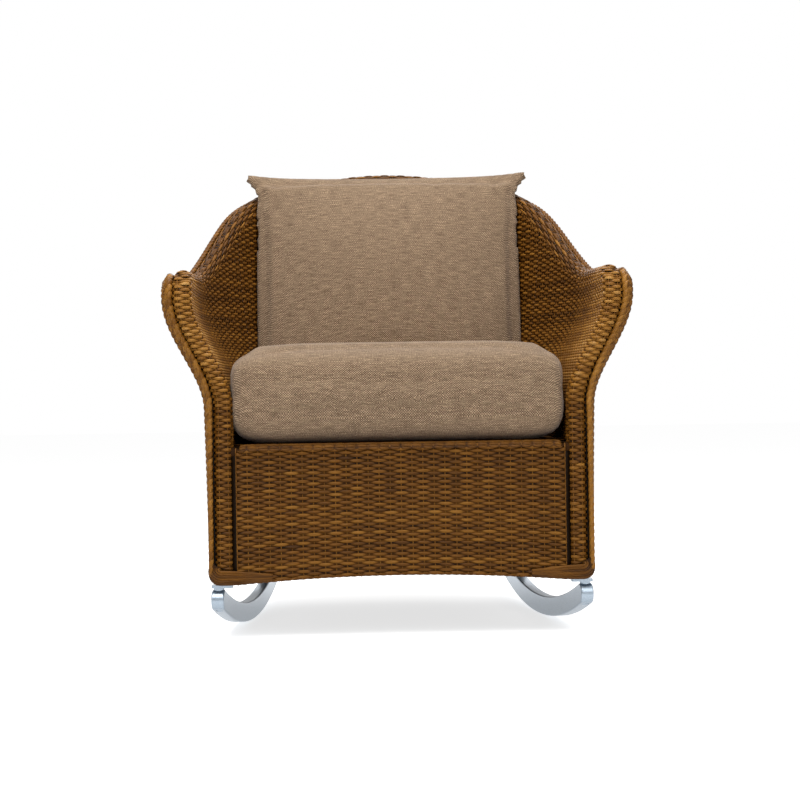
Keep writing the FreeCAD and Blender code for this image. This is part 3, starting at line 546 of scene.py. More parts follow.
def twisted(
    strands: Strands, path: Array, normals: Array, radius: float, pitch: float, count: int = 2,
) -> None:
    """Winds strands round a path, as a twisted edge.

    Strand k lies at the angle 2 pi (length / pitch + k / count) round the path.
    """
    length = np.concatenate([[0.0], np.cumsum(np.linalg.norm(np.diff(path, axis=0), axis=1))])
    dense = np.linspace(0, length[-1], max(int(length[-1] / pitch * 7), 8))
    path = np.stack([np.interp(dense, length, path[:, i]) for i in range(3)], axis=1)
    normals = unit(np.stack([np.interp(dense, length, normals[:, i]) for i in range(3)], axis=1))
    ahead = unit(np.gradient(path, axis=0))
    across = unit(np.cross(ahead, normals))
    up = np.cross(across, ahead)
    for k in range(count):
        turn = 2 * pi * (dense / pitch + k / count)
        away = across * np.cos(turn)[:, None] + up * np.sin(turn)[:, None]
        strands.add(path + away * radius * 0.45, away, radius * 0.62, radius * 0.5)


# Finishes

class Tint(Enum):
    """Colours as written in sRGB."""

    # The darkest stop: painted shade, for the slots where strands dip and for the backing sheets.
    SLOT_SHADE = "#130800"
    BARK = "#3d2204"
    HICKORY = "#6b4312"
    AMBER = "#966728"
    STRAW = "#bd9458"
    COAT = "#2a1b10"
    BAR = "#7b8894"
    BAR_LIGHT = "#a9b3bd"
    ZINC = "#a9abae"
    TAUPE_DARK = "#5b4938"
    TAUPE = "#957b63"
    TAUPE_LIGHT = "#cdb491"
    WHITE = "#ffffff"
    FLOOR = "#ededed"


def colour(tint: Tint) -> tuple[float, float, float, float]:
    """An sRGB colour as linear light, by the standard's own curve."""
    parts = [int(tint.value[i:i + 2], 16) / 255 for i in (1, 3, 5)]
    linear = [p / 12.92 if p <= 0.04045 else ((p + 0.055) / 1.055) ** 2.4 for p in parts]
    return (*linear, 1.0)


def add_node(
    tree: bpy.types.NodeTree, kind: str, inputs: dict | None = None, **settings: object
) -> bpy.types.Node:
    """Adds one shader node.

    Args:
        tree: the material's or world's nodes.
        kind: the node's type.
        inputs: by socket, a value to set or another node's output to link.
        settings: the node's own options.
    """
    node = tree.nodes.new(kind)
    for name, value in settings.items():
        setattr(node, name, value)
    for socket, value in (inputs or {}).items():
        if isinstance(value, bpy.types.NodeSocket):
            tree.links.new(value, node.inputs[socket])
        else:
            node.inputs[socket].default_value = value
    return node


def ramp(
    tree: bpy.types.NodeTree, factor: bpy.types.NodeSocket, stops: Iterable[tuple[float, Tint]],
) -> bpy.types.NodeSocket:
    """A colour ramp through the stops given."""
    node = add_node(tree, "ShaderNodeValToRGB", {"Fac": factor})
    elements = node.color_ramp.elements
    for i, (place, tint) in enumerate(stops):
        element = elements[i] if i < 2 else elements.new(place)
        element.position = place
        element.color = colour(tint)
    return node.outputs["Color"]


def blank(name: str) -> tuple[bpy.types.Material, bpy.types.NodeTree, bpy.types.Node]:
    """A new material with one surface shader."""
    material = bpy.data.materials.new(name)
    material.use_nodes = True
    tree = material.node_tree
    tree.nodes.clear()
    shader = add_node(tree, "ShaderNodeBsdfPrincipled")
    output = add_node(tree, "ShaderNodeOutputMaterial")
    tree.links.new(shader.outputs["BSDF"], output.inputs["Surface"])
    return material, tree, shader


def maths(
    tree: bpy.types.NodeTree, operation: str, *values: float | bpy.types.NodeSocket
) -> bpy.types.NodeSocket:
    """One arithmetic step on numbers or outputs."""
    node = add_node(tree, "ShaderNodeMath", dict(enumerate(values)), operation=operation)
    return node.outputs["Value"]


@dataclass(frozen=True)
class ResinFinish:
    """Satin resin strands, streaked along their length."""

    name: str
    stops: tuple[tuple[float, Tint], ...] = (
        (0.0, Tint.SLOT_SHADE), (0.22, Tint.BARK), (0.48, Tint.HICKORY), (0.76, Tint.AMBER),
        (1.0, Tint.STRAW),
    )
    roughness: float = 0.46
    tone_share: float = 0.42

    def build(self) -> bpy.types.Material:
        """The material: colour and bump follow each strand's own length and girth, and its colour
        is painted darker where it lies low, as shade.
        """
        material, tree, shader = blank(self.name)
        strand = add_node(tree, "ShaderNodeAttribute", attribute_name="strand")
        tone = add_node(tree, "ShaderNodeAttribute", attribute_name="tone")
        patches = add_node(
            tree, "ShaderNodeMapping", {"Vector": strand.outputs["Vector"], "Scale": (14, 0.2, 0.2)}
        )
        patch = add_node(
            tree, "ShaderNodeTexNoise",
            {"Vector": patches.outputs["Vector"], "Scale": 1.0, "Detail": 2.0},
        )
        streaks = add_node(
            tree, "ShaderNodeMapping", {"Vector": strand.outputs["Vector"], "Scale": (60, 3.2, 3.2)}
        )
        streak = add_node(
            tree, "ShaderNodeTexNoise",
            {"Vector": streaks.outputs["Vector"], "Scale": 1.0, "Detail": 3.0},
        )
        shade = maths(tree, "MULTIPLY", tone.outputs["Fac"], self.tone_share)
        patchy = maths(tree, "MULTIPLY_ADD", patch.outputs["Fac"], 0.55, shade)
        total = maths(tree, "MULTIPLY_ADD", streak.outputs["Fac"], 0.35, patchy)
        # Painted shade: the low attribute darkens the parts of strands that lie under their
        # neighbours, and the backing sheets, towards the darkest stop.
        low = add_node(tree, "ShaderNodeAttribute", attribute_name="low")
        dark = maths(tree, "POWER", low.outputs["Fac"], 1.8)
        factor = maths(tree, "MULTIPLY_ADD", dark, -0.25, maths(tree, "SUBTRACT", total, 0.19))
        tree.links.new(ramp(tree, factor, self.stops), shader.inputs["Base Color"])
        bump = add_node(
            tree, "ShaderNodeBump",
            {"Height": streak.outputs["Fac"], "Strength": 0.35, "Distance": 0.0004},
        )
        tree.links.new(bump.outputs["Normal"], shader.inputs["Normal"])
        shader.inputs["Roughness"].default_value = self.roughness
        shader.inputs["Specular IOR Level"].default_value = 0.13
        return material


@dataclass(frozen=True)
class CoatFinish:
    """Dark powder coat with a faint orange peel."""

    name: str
    tint: Tint = Tint.COAT

    def build(self) -> bpy.types.Material:
        """The material, in the object's own coordinates."""
        material, tree, shader = blank(self.name)
        place = add_node(tree, "ShaderNodeTexCoord")
        peel = add_node(
            tree, "ShaderNodeTexNoise",
            {"Vector": place.outputs["Object"], "Scale": 900.0, "Detail": 2.0},
        )
        cloud = add_node(
            tree, "ShaderNodeTexNoise",
            {"Vector": place.outputs["Object"], "Scale": 12.0, "Detail": 3.0},
        )
        stops = ((0.3, self.tint), (0.75, Tint.BARK))
        tree.links.new(ramp(tree, cloud.outputs["Fac"], stops), shader.inputs["Base Color"])
        bump = add_node(
            tree, "ShaderNodeBump",
            {"Height": peel.outputs["Fac"], "Strength": 0.2, "Distance": 0.0003},
        )
        tree.links.new(bump.outputs["Normal"], shader.inputs["Normal"])
        shader.inputs["Roughness"].default_value = 0.8
        shader.inputs["Specular IOR Level"].default_value = 0.06
        return material


@dataclass(frozen=True)
class MetalFinish:
    """Bare metal with fine marks drawn out along one direction."""

    name: str
    tint: Tint
    light: Tint
    stretch: tuple[float, float, float]
    roughness: tuple[float, float] = (0.22, 0.4)

    def build(self) -> bpy.types.Material:
        """The material: drawn streaks vary its colour, gloss and bump."""
        material, tree, shader = blank(self.name)
        place = add_node(tree, "ShaderNodeTexCoord")
        mapped = add_node(
            tree, "ShaderNodeMapping",
            {"Vector": place.outputs["Object"], "Scale": self.stretch},
        )
        streak = add_node(
            tree, "ShaderNodeTexNoise",
            {"Vector": mapped.outputs["Vector"], "Scale": 1.0, "Detail": 5.0},
        )
        stops = ((0.15, self.tint), (0.9, self.light))
        tree.links.new(ramp(tree, streak.outputs["Fac"], stops), shader.inputs["Base Color"])
        gloss = add_node(
            tree, "ShaderNodeMapRange",
            {
                "Value": streak.outputs["Fac"],
                "To Min": self.roughness[0], "To Max": self.roughness[1],
            },
        )
        tree.links.new(gloss.outputs["Result"], shader.inputs["Roughness"])
        bump = add_node(
            tree, "ShaderNodeBump",
            {"Height": streak.outputs["Fac"], "Strength": 0.12, "Distance": 0.0003},
        )
        tree.links.new(bump.outputs["Normal"], shader.inputs["Normal"])
        shader.inputs["Metallic"].default_value = 1.0
        return material


@dataclass(frozen=True)
class FabricFinish:
    """Coarse basket weave with light specks and level slubs.

    The threads follow u across and v up or back, so that the weave runs on over the front
    edge of a cushion. On the flanks u is the depth instead.
    """

    name: str
    cell: float = 0.0022
    stops: tuple[tuple[float, Tint], ...] = (
        (0.0, Tint.TAUPE_DARK), (0.5, Tint.TAUPE), (1.0, Tint.TAUPE_LIGHT),
    )

    def build(self) -> bpy.types.Material:
        """The material: bumps are sin(k u) sin(k v), and light threads fleck them."""
        material, tree, shader = blank(self.name)
        place = add_node(tree, "ShaderNodeTexCoord")
        xyz = add_node(tree, "ShaderNodeSeparateXYZ", {"Vector": place.outputs["Object"]})
        x, y, z = (xyz.outputs[axis] for axis in "XYZ")
        facing = add_node(tree, "ShaderNodeNewGeometry")
        normal = add_node(tree, "ShaderNodeSeparateXYZ", {"Vector": facing.outputs["Normal"]})
        flank = maths(
            tree, "GREATER_THAN", maths(tree, "ABSOLUTE", normal.outputs["X"]), 0.72
        )
        across = maths(tree, "MULTIPLY_ADD", maths(tree, "SUBTRACT", y, x), flank, x)
        under = maths(tree, "LESS_THAN", normal.outputs["Z"], -0.15)
        way = maths(tree, "MULTIPLY_ADD", under, -2.0, 1.0)
        lean = maths(tree, "MULTIPLY", way, maths(tree, "SUBTRACT", 1.0, flank))
        rise = maths(tree, "MULTIPLY_ADD", y, lean, z)
        k = 2 * pi / (2 * self.cell)
        wave_u = maths(tree, "SINE", maths(tree, "MULTIPLY", across, k))
        wave_v = maths(tree, "SINE", maths(tree, "MULTIPLY", rise, k))
        checks = maths(tree, "MULTIPLY", wave_u, wave_v)
        flat = add_node(tree, "ShaderNodeCombineXYZ", {"X": across, "Y": rise})
        specks = self._noise(tree, flat.outputs["Vector"], (330, 400, 1), 1.0)
        slubs = self._noise(tree, flat.outputs["Vector"], (42, 330, 1), 2.0)
        cloud = self._noise(tree, flat.outputs["Vector"], (5, 7, 1), 2.0)
        total = maths(tree, "MULTIPLY_ADD", checks, 0.75, 0.2)
        for part, share in ((specks, 1.2), (slubs, 1.2), (cloud, 0.1)):
            total = maths(tree, "MULTIPLY_ADD", maths(tree, "SUBTRACT", part, 0.5), share, total)
        tree.links.new(ramp(tree, total, self.stops), shader.inputs["Base Color"])
        height = maths(tree, "MULTIPLY_ADD", specks, 0.5, checks)
        bump = add_node(
            tree, "ShaderNodeBump", {"Height": height, "Strength": 0.5, "Distance": 0.0006}
        )
        tree.links.new(bump.outputs["Normal"], shader.inputs["Normal"])
        shader.inputs["Roughness"].default_value = 0.92
        shader.inputs["Specular IOR Level"].default_value = 0.2
        shader.inputs["Sheen Weight"].default_value = 0.15
        shader.inputs["Sheen Roughness"].default_value = 0.5
        return material

    @staticmethod
    def _noise(
        tree: bpy.types.NodeTree, vector: bpy.types.NodeSocket,
        scale: tuple[float, float, float], detail: float,
    ) -> bpy.types.NodeSocket:
        """Noise drawn out by a scale for each direction."""
        mapped = add_node(tree, "ShaderNodeMapping", {"Vector": vector, "Scale": scale})
        noise = add_node(
            tree, "ShaderNodeTexNoise",
            {"Vector": mapped.outputs["Vector"], "Scale": 1.0, "Detail": detail},
        )
        return noise.outputs["Fac"]


@dataclass(frozen=True)
class Finishes:
    """Every material of the chair, built once."""

    resin: bpy.types.Material
    braid: bpy.types.Material
    coat: bpy.types.Material
    bar: bpy.types.Material
    zinc: bpy.types.Material
    fabric: bpy.types.Material

    @classmethod
    def build(cls) -> "Finishes":
        """Builds them all."""
        return cls(
            resin=ResinFinish("woven_resin").build(),
            braid=ResinFinish(
                "plaited_resin",
                stops=(
                    (0.0, Tint.BARK), (0.4, Tint.HICKORY), (0.75, Tint.AMBER),
                    (1.0, Tint.STRAW),
                ),
                roughness=0.38,
            ).build(),
            coat=CoatFinish("brown_coat").build(),
            bar=MetalFinish("satin_bar", Tint.BAR, Tint.BAR_LIGHT, (500, 5, 500)).build(),
            zinc=MetalFinish("zinc", Tint.ZINC, Tint.BAR_LIGHT, (300, 300, 300)).build(),
            fabric=FabricFinish("basket_weave").build(),
        )


def settle(
    item: bpy.types.Object, material: bpy.types.Material, body: str, slot: str, *nodes: str
) -> bpy.types.Object:
    """Gives a piece its material and body, and hides the CAD nodes it stands for."""
    item.data.materials.clear()
    item.data.materials.append(material)
    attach(item, body)
    if nodes:
        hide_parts(*nodes)
    return item


# Woven pieces

@dataclass
class WovenShell:
    """The woven skins, posts and rim of the barrel."""

    shell: Shell
    finishes: Finishes
    inner_split: float = 0.552
    outer_split: float = 0.648
    pieces: list[bpy.types.Object] = field(default_factory=list)

    def split_cell(self, curve: Curve, depth: float) -> float:
        """The cell midway between two stakes nearest to a depth on the left."""
        dense = np.linspace(0, STATIONS / 2, 801)
        depths = curve.at(dense)[:, 1] + self.shell.sizes.middle
        cell = float(self.shell.cell(np.interp(depth, depths, dense)))
        return np.floor(cell) + 0.5

    def row_height(self, row: int) -> float:
        """The height of a row's middle."""
        return FIRST_ROW + ROW_PITCH * row

    def skin(
        self, surface: Callable[[Array | float], Surface], first_row: int,
        span: tuple[float, float], ends: float, layer: Layer, seed: int,
    ) -> Strands:
        """One woven skin between two cells.

        Args:
            surface: gives the surface of a height.
            first_row: the lowest row.
            span: the first and last cell.
            ends: how far full rows run on past both ends of the shell.
            layer: the woven surface.
            seed: starts the strands' chance.
        """
        strands = Strands(seed)
        top = self.shell.sizes.crown_height
        rows = range(first_row, int((top - FIRST_ROW) / ROW_PITCH))
        for row in rows:
            z = self.row_height(row)
            clip = self.shell.clip_cell(z)
            low, high = (clip, CELLS - clip) if clip else (-ends, CELLS + ends)
            first, last = max(low, span[0]), min(high, span[1])
            tucked = (bool(clip) and low > span[0], bool(clip) and high < span[1])
            weave(strands, surface(z), first, last, row, layer, tucked)
        for cell in np.arange(np.ceil(span[0]), np.floor(span[1]) + 1):
            self.skin_stake(strands, surface, cell, self.row_height(first_row))
        self.skin_shade_sheet(strands, surface, span, self.row_height(first_row))
        return strands

    def skin_shade_sheet(
        self, strands: Strands, surface: Callable[..., Surface], span: tuple[float, float],
        low: float,
    ) -> None:
        """The dark sheet behind a skin, painted shade for the hidden inside, which keeps light out
        of its slots.
        """
        first, last = max(span[0], 0.0), min(span[1], float(CELLS))
        q = np.linspace(first, last, int(last - first) + 2)
        tops = self.shell.rail.at(self.shell.station(q))[:, 2] - 0.002
        shares = np.linspace(0.0, 1.0, 26)
        sheets = []
        for offset in (OFFSET - BACKING, OFFSET - BACKING - SHEET):
            rows = [surface(low + (tops - low) * share, offset)(q)[0] for share in shares]
            sheets.append(np.stack(rows))
        strands.back(*sheets)

    def skin_stake(
        self, strands: Strands, surface: Callable[[Array | float], Surface], cell: float,
        low: float,
    ) -> None:
        """One upright stake of a skin, up to the rail."""
        held = min(max(cell, 0.0), float(CELLS))
        top = float(self.shell.rail.at(self.shell.station(np.array([held])))[0, 2]) - 0.002
        heights = np.linspace(low - 0.003, top, max(int((top - low) / 0.0106), 3))
        place, normal = surface(heights)(np.full(len(heights), cell))
        stake(strands, place, normal)

    def inner(self) -> None:
        """The seat side: both arms with their folds round the posts, and the back."""
        split = self.split_cell(self.shell.deck, self.inner_split)
        spans = (
            ("arm_weave_left", (-FOLD_CELLS, split), ("inner_arm_left", "post_wrap_left")),
            ("inner_back_weave", (split, CELLS - split), ("inner_back",)),
            (
                "arm_weave_right", (CELLS - split, CELLS + FOLD_CELLS),
                ("inner_arm_right", "post_wrap_right"),
            ),
        )
        for seed, (name, span, nodes) in enumerate(spans):
            strands = self.skin(self.shell.inner, DECK_ROW, span, FOLD_CELLS, Layer.INNER, seed)
            if "left" in name:
                self.lower_post(strands, -1)
            if "right" in name:
                self.lower_post(strands, 1)
            self.keep(strands, name, *nodes)

    def lower_post(self, strands: Strands, side: int) -> None:
        """The rings woven round a front post below the deck."""
        stakes = 2 * FOLD_CELLS
        q = (np.arange(stakes)[:, None] + BESIDE_STAKE).ravel()
        for row in range(DECK_ROW):
            z = np.full(len(q), self.row_height(row))
            place, normal = self.shell.post(side, q * pi / FOLD_CELLS, z, OFFSET)
            if side < 0:
                place, normal = place[::-1], normal[::-1]
            over = crossing(q - FOLD_CELLS + row)
            over = over[::-1] if side < 0 else over
            closed_row(strands, place, normal, over, row, Layer.POST)
        for cell in range(stakes):
            heights = np.linspace(self.row_height(0), self.row_height(DECK_ROW), 24)
            turn = np.full(len(heights), cell * pi / FOLD_CELLS)
            stake(strands, *self.shell.post(side, turn, heights, OFFSET))
        self.seam(strands, side)

    def seam(self, strands: Strands, side: int) -> None:
        """The dark strip between a front post and its plait, painted shade that closes the gap."""
        heights = np.linspace(self.row_height(3), self.shell.sizes.arm_height, 40)
        turn = np.full(len(heights), 0.16)
        columns = [self.shell.post(side, turn, heights, reach)[0] for reach in SEAM]
        front = np.stack(columns[::-side], axis=1)
        strands.back(front, front + np.array([0.0, SHEET, 0.0]))

    def outer(self) -> None:
        """The outside: both flanks and the back, with a twisted hem."""
        split = self.split_cell(self.shell.base, self.outer_split)
        spans = (
            ("outer_side_weave_left", (0.0, split), ("outer_side_left",)),
            ("outer_back_weave", (split, CELLS - split), ("outer_back",)),
            ("outer_side_weave_right", (CELLS - split, float(CELLS)), ("outer_side_right",)),
        )
        for seed, (name, span, nodes) in enumerate(spans):
            strands = self.skin(self.shell.outer, 0, span, 0.0, Layer.OUTER, 10 + seed)
            q = np.linspace(*span, 60)
            place, normal = self.shell.outer(self.shell.sizes.base_height)(q)
            twisted(strands, place, normal, 0.0036, 0.03)
            self.keep(strands, name, *nodes)

    def rim(self) -> None:
        """The woven roll over the rail: rows that run round both arms' fronts, and a crest."""
        strands = Strands(20)
        shell = self.shell
        step = radians(18.7)
        for row, turn in enumerate(step * np.arange(-1, 5)):
            cells = FOLD_CELLS if row < 3 else 1
            rail_q = samples(0.0, float(CELLS))[:-1]
            z = np.full(3 * cells, shell.sizes.arm_height + OFFSET * np.sin(turn))
            fold_q = np.arange(3 * cells) / 3
            arc = turn + (pi - 2 * turn) * fold_q / cells
            outer = shell.rim(turn)(rail_q)
            right = shell.post(1, arc, z, OFFSET)
            inner = shell.rim(pi - turn)(CELLS - rail_q)
            left = shell.post(-1, pi - arc, z, OFFSET)
            parts = (outer, right, inner, left)
            place = np.concatenate([part[0] for part in parts])
            normal = np.concatenate([part[1] for part in parts])
            q = np.concatenate([
                rail_q, CELLS + fold_q, CELLS + cells + rail_q, 2 * CELLS + cells + fold_q
            ])
            closed_row(strands, place, normal, crossing(q + row), row, Layer.RIM, 0.001)
        weave(strands, shell.rim(pi / 2), 0.0, float(CELLS), 6, Layer.RIM, (True, True), 0.001)
        # A dark strip under the plait along the rim: painted shade that closes the seam.
        q = np.linspace(0.0, CELLS, 300)
        columns = [shell.rim(0.1, reach)(q)[0] for reach in SEAM]
        front = np.stack(columns, axis=1)
        strands.back(front, front - np.array([0.0, 0.0, SHEET]))
        turns = np.radians(np.arange(205, -20, -28.0))
        for cell in range(CELLS + 1):
            place, normal = shell.rim(turns)(np.full(len(turns), float(cell)))
            stake(strands, place, normal)
        self.keep(strands, "rim_weave", "rail_wrap")

    def keep(self, strands: Strands, name: str, *nodes: str) -> None:
        """One woven piece of the chair's body."""
        item = strands.to_object(name)
        self.pieces.append(settle(item, self.finishes.resin, "chair", "resin_weave", *nodes))


@dataclass
class Apron:
    """The flat front panel with an arched hem and a scalloped upper roll."""

    sizes: Barrel
    finishes: Finishes
    stakes: int = 30
    pitch: float = 0.0196
    rows: int = 46
    arch: float = 0.015
    depth: float = 0.0089
    corner: float = 0.018

    def low(self, x: Array) -> Array:
        """The lower edge: a shallow parabola between the posts."""
        return self.sizes.base_height + self.arch * (1 - (x / self.sizes.base_half) ** 2)

    def surface(self, share: float) -> Surface:
        """The panel's row at a share of its height, by cell number."""

        def place(q: Array) -> tuple[Array, Array]:
            x = (q - self.stakes / 2) * self.pitch
            low = self.low(x)
            z = low + (self.sizes.deck_height - 0.004 - low) * share
            y = np.full_like(x, self.depth - self.sizes.middle)
            return np.stack([x, y, z], axis=1), np.tile([0.0, -1.0, 0.0], (len(x), 1))

        return place

    def build(self) -> bpy.types.Object:
        """Weaves the panel."""
        strands = Strands(30)
        top = self.sizes.deck_height
        for row in range(self.rows + 1):
            share = (row + 0.35) / (self.rows + 1)
            z = self.sizes.base_height + (top - self.sizes.base_height) * share
            rounded = max(z - (top - self.corner), 0.0)
            inset = (self.corner - (self.corner**2 - rounded**2) ** 0.5) / self.pitch
            weave(
                strands, self.surface(share), inset, self.stakes - inset, row, Layer.APRON
            )
        for cell in range(self.stakes + 1):
            shares = np.linspace(0.0, 0.99, 24)
            columns = [self.surface(share)(np.array([float(cell)])) for share in shares]
            place = np.concatenate([column[0] for column in columns])
            stake(strands, place, np.concatenate([column[1] for column in columns]))
        self.roll(strands)
        # A dark sheet behind the panel: painted shade for the space under the seat.
        q = np.linspace(-0.5, self.stakes + 0.5, 32)
        sheets = []
        for y in (BACKING, BACKING + SHEET):
            rows = [self.surface(share)(q)[0] for share in np.linspace(-0.008, 0.96, 10)]
            sheets.append(np.stack(rows) + np.array([0.0, y, 0.0]))
        strands.back(*sheets)
        edge = np.linspace(0.0, self.stakes, 60)
        place, normal = self.surface(0.0)(edge)
        twisted(strands, place, normal, 0.0034, 0.026)
        item = strands.to_object("apron_weave")
        return settle(item, self.finishes.resin, "chair", "resin_weave", "front_apron")

    def roll(self, strands: Strands) -> None:
        """The upper edge: strands round a roll that swells between the stakes.

        Its radius is 4.8 mm + 3.4 mm |sin(pi q)|.
        """
        q = np.linspace(0.35, self.stakes - 0.35, self.stakes * 6 + 1)
        x = (q - self.stakes / 2) * self.pitch
        half = self.stakes / 2 * self.pitch
        drop = np.clip(np.abs(x) - (half - self.corner), 0, self.corner)
        drop = self.corner - np.sqrt(np.maximum(self.corner**2 - drop**2, 0.0))
        swell = np.abs(np.sin(pi * q))
        radius = 0.0048 + 0.0034 * swell
        for degrees in (-15, 25, 65, 105, 145):
            turn = radians(degrees)
            normal = np.tile([0.0, -np.cos(turn), np.sin(turn)], (len(x), 1))
            middle = np.stack([
                x, np.full_like(x, self.depth + 0.004 - self.sizes.middle),
                self.sizes.deck_height - 0.0085 - drop,
            ], axis=1)
            # Painted shade: where the roll narrows between the swells, low paints the strands
            # darker.
            strands.add(
                middle + normal * radius[:, None], normal, 0.0027, 0.0013, low=1 - swell
            )


@dataclass
class Deck:
    """The woven deck under the seat cushion."""

    shell: Shell
    finishes: Finishes
    pitch: float = 0.0072
    stake_pitch: float = 0.0196

    def half(self, y: float) -> float:
        """How far the deck reaches to each side at a depth."""
        dense = self.shell.deck.at(np.linspace(0, STATIONS / 2, 400))
        reach = float(np.interp(y, dense[:, 1], -dense[:, 0])) - 0.014
        return min(reach, 0.286) if y < -0.375 else reach

    def build(self) -> bpy.types.Object:
        """Weaves the deck from front to back."""
        strands = Strands(40)
        sizes = self.shell.sizes
        front = 0.014 - sizes.middle
        rear = sizes.deck_rear - sizes.middle - 0.006
        for row, y in enumerate(np.arange(front, rear, self.pitch)):
            half = self.half(y)
            if half < 0.03:
                continue

            def place(q: Array, y: float = y) -> tuple[Array, Array]:
                points = np.stack([
                    q * self.stake_pitch, np.full_like(q, y),
                    np.full_like(q, sizes.deck_height - 0.0022),
                ], axis=1)
                return points, np.tile([0.0, 0.0, 1.0], (len(q), 1))

            cells = half / self.stake_pitch
            weave(strands, place, -cells, cells, row, Layer.DECK, wave=0.0009)
        for cell in range(-14, 15):
            x = cell * self.stake_pitch
            last = rear
            while self.half(last) < abs(x) and last > front:
                last -= 0.004
            y = np.linspace(front, last, 40)
            path = np.stack(
                [np.full_like(y, x), y, np.full_like(y, sizes.deck_height - 0.0022)], axis=1
            )
            stake(strands, path, np.tile([0.0, 0.0, 1.0], (len(y), 1)))
        # A dark sheet under the deck's strands: painted shade for the space below.
        rows = np.linspace(front, rear, 60)
        halves = np.array([self.half(y) for y in rows])
        halves = np.where(rows < -0.375, 0.2965, np.maximum(halves, 0.01))
        share = np.linspace(-1.0, 1.0, 9)
        upper = np.stack([
            halves[:, None] * share, np.repeat(rows[:, None], 9, axis=1),
            np.full((60, 9), sizes.deck_height - 0.0046),
        ], axis=-1)
        strands.back(upper, upper - np.array([0.0, 0.0, SHEET]))
        item = strands.to_object("deck_weave")
        return settle(item, self.finishes.resin, "chair", "resin_weave", "seat_deck")


@dataclass
class Plait:
    """The three-strand plait up the posts and round the rim.

    Strand k of a plait of radius r lies 0.44 r sin(p + 2 pi k / 3) across it and
    0.12 r sin(2 (p + 2 pi k / 3)) out of it, where p = 2 pi length / period. Each strand is
    three canes side by side.
    """

    shell: Shell
    finishes: Finishes
    period: float = 0.036
    wrap_radius: float = 0.0185
    foot_radius: float = 0.0068
    arm_radius: float = 0.0098
    crown_radius: float = 0.007
    forward: float = 0.007
    fullness: float = 1.35
    seat: float = 0.9
    pair_half: float = 0.36

    def post_path(self, side: int) -> tuple[Array, Array, Array]:
        """The middle, face direction and radius of the plait up one post."""
        sizes = self.shell.sizes
        z = np.linspace(sizes.base_height + 0.018, sizes.arm_height, 60)
        thick = eased((z - sizes.base_height) / (sizes.arm_height - sizes.base_height))
        radius = self.foot_radius + (self.arm_radius - self.foot_radius) * thick
        reach = self.wrap_radius + self.seat * radius
        points, normals = self.shell.post(side, np.zeros_like(z), z, 0.0)
        points = points + normals * reach[:, None]
        points[:, 1] -= self.forward * (1 - thick)
        sine, cosine = self.shell.turned(z, sizes.bend)
        front = np.stack([np.zeros_like(z), -cosine, sine], axis=1)
        turn = radians(35) * thick[:, None]
        return points, normals * np.cos(turn) + front * np.sin(turn), radius

    def rim_path(self) -> tuple[Array, Array, Array]:
        """The middle, face direction and radius of the plait round the rim."""
        q = np.linspace(0.0, CELLS, 400)
        s = self.shell.station(q)
        crown = np.sin(pi / 2 * np.minimum(s, STATIONS - s) / (STATIONS / 2)) ** 2
        radius = self.arm_radius + (self.crown_radius - self.arm_radius) * crown
        middle, out = self.shell.rim(0.0, 0.0)(q)
        face = self.shell.rim(radians(35) * (1 - 0.6 * crown), 0.0)(q)[1]
        return middle + out * (self.wrap_radius + self.seat * radius)[:, None], face, radius

    def strands_of(self, part: tuple[Array, Array, Array], start: float) -> tuple[Strands, float]:
        """One stretch of the plait, and where its pattern ends."""
        path, face, radius = part
        steps = np.linalg.norm(np.diff(path, axis=0), axis=1)
        length = np.concatenate([[0.0], np.cumsum(steps)])
        dense = np.linspace(0, length[-1], int(length[-1] / self.period * 14) + 2)

        def spread(values: Array) -> Array:
            return np.stack([np.interp(dense, length, column) for column in values.T], axis=1)

        path, face = spread(path), unit(spread(face))
        radius = np.interp(dense, length, radius)[:, None]
        ahead = unit(np.gradient(path, axis=0))
        across = unit(np.cross(ahead, face))
        face = np.cross(across, ahead)
        strands = Strands(50 + int(start * 100), sides=6)
        radius = radius * self.fullness
        for k in range(3):
            p = (2 * pi * (dense + start) / self.period + 2 * pi * k / 3)[:, None]
            middle = path + across * 0.44 * radius * np.sin(p)
            middle += face * 0.12 * radius * np.sin(2 * p)
            beside = unit(np.cross(unit(np.gradient(middle, axis=0)), face))
            for half in (-self.pair_half, 0.0, self.pair_half):
                cane = middle + beside * half * radius
                strands.add(cane, face, radius[:, 0] * 0.2, radius[:, 0] * 0.4)
        return strands, start + float(length[-1])

    def build(self) -> None:
        """Both posts' plaits and the rim's, as one pattern that runs on."""
        left, right = self.post_path(-1), self.post_path(1)
        right = tuple(values[::-1] for values in right)
        parts = (
            ("post_plait_left", left, "post_braid_left"),
            ("rim_plait", self.rim_path(), "rim_braid"),
            ("post_plait_right", right, "post_braid_right"),
        )
        start = 0.0
        for name, part, node in parts:
            strands, start = self.strands_of(part, start)
            item = strands.to_object(name)
            settle(item, self.finishes.braid, "chair", "resin_braid", node)


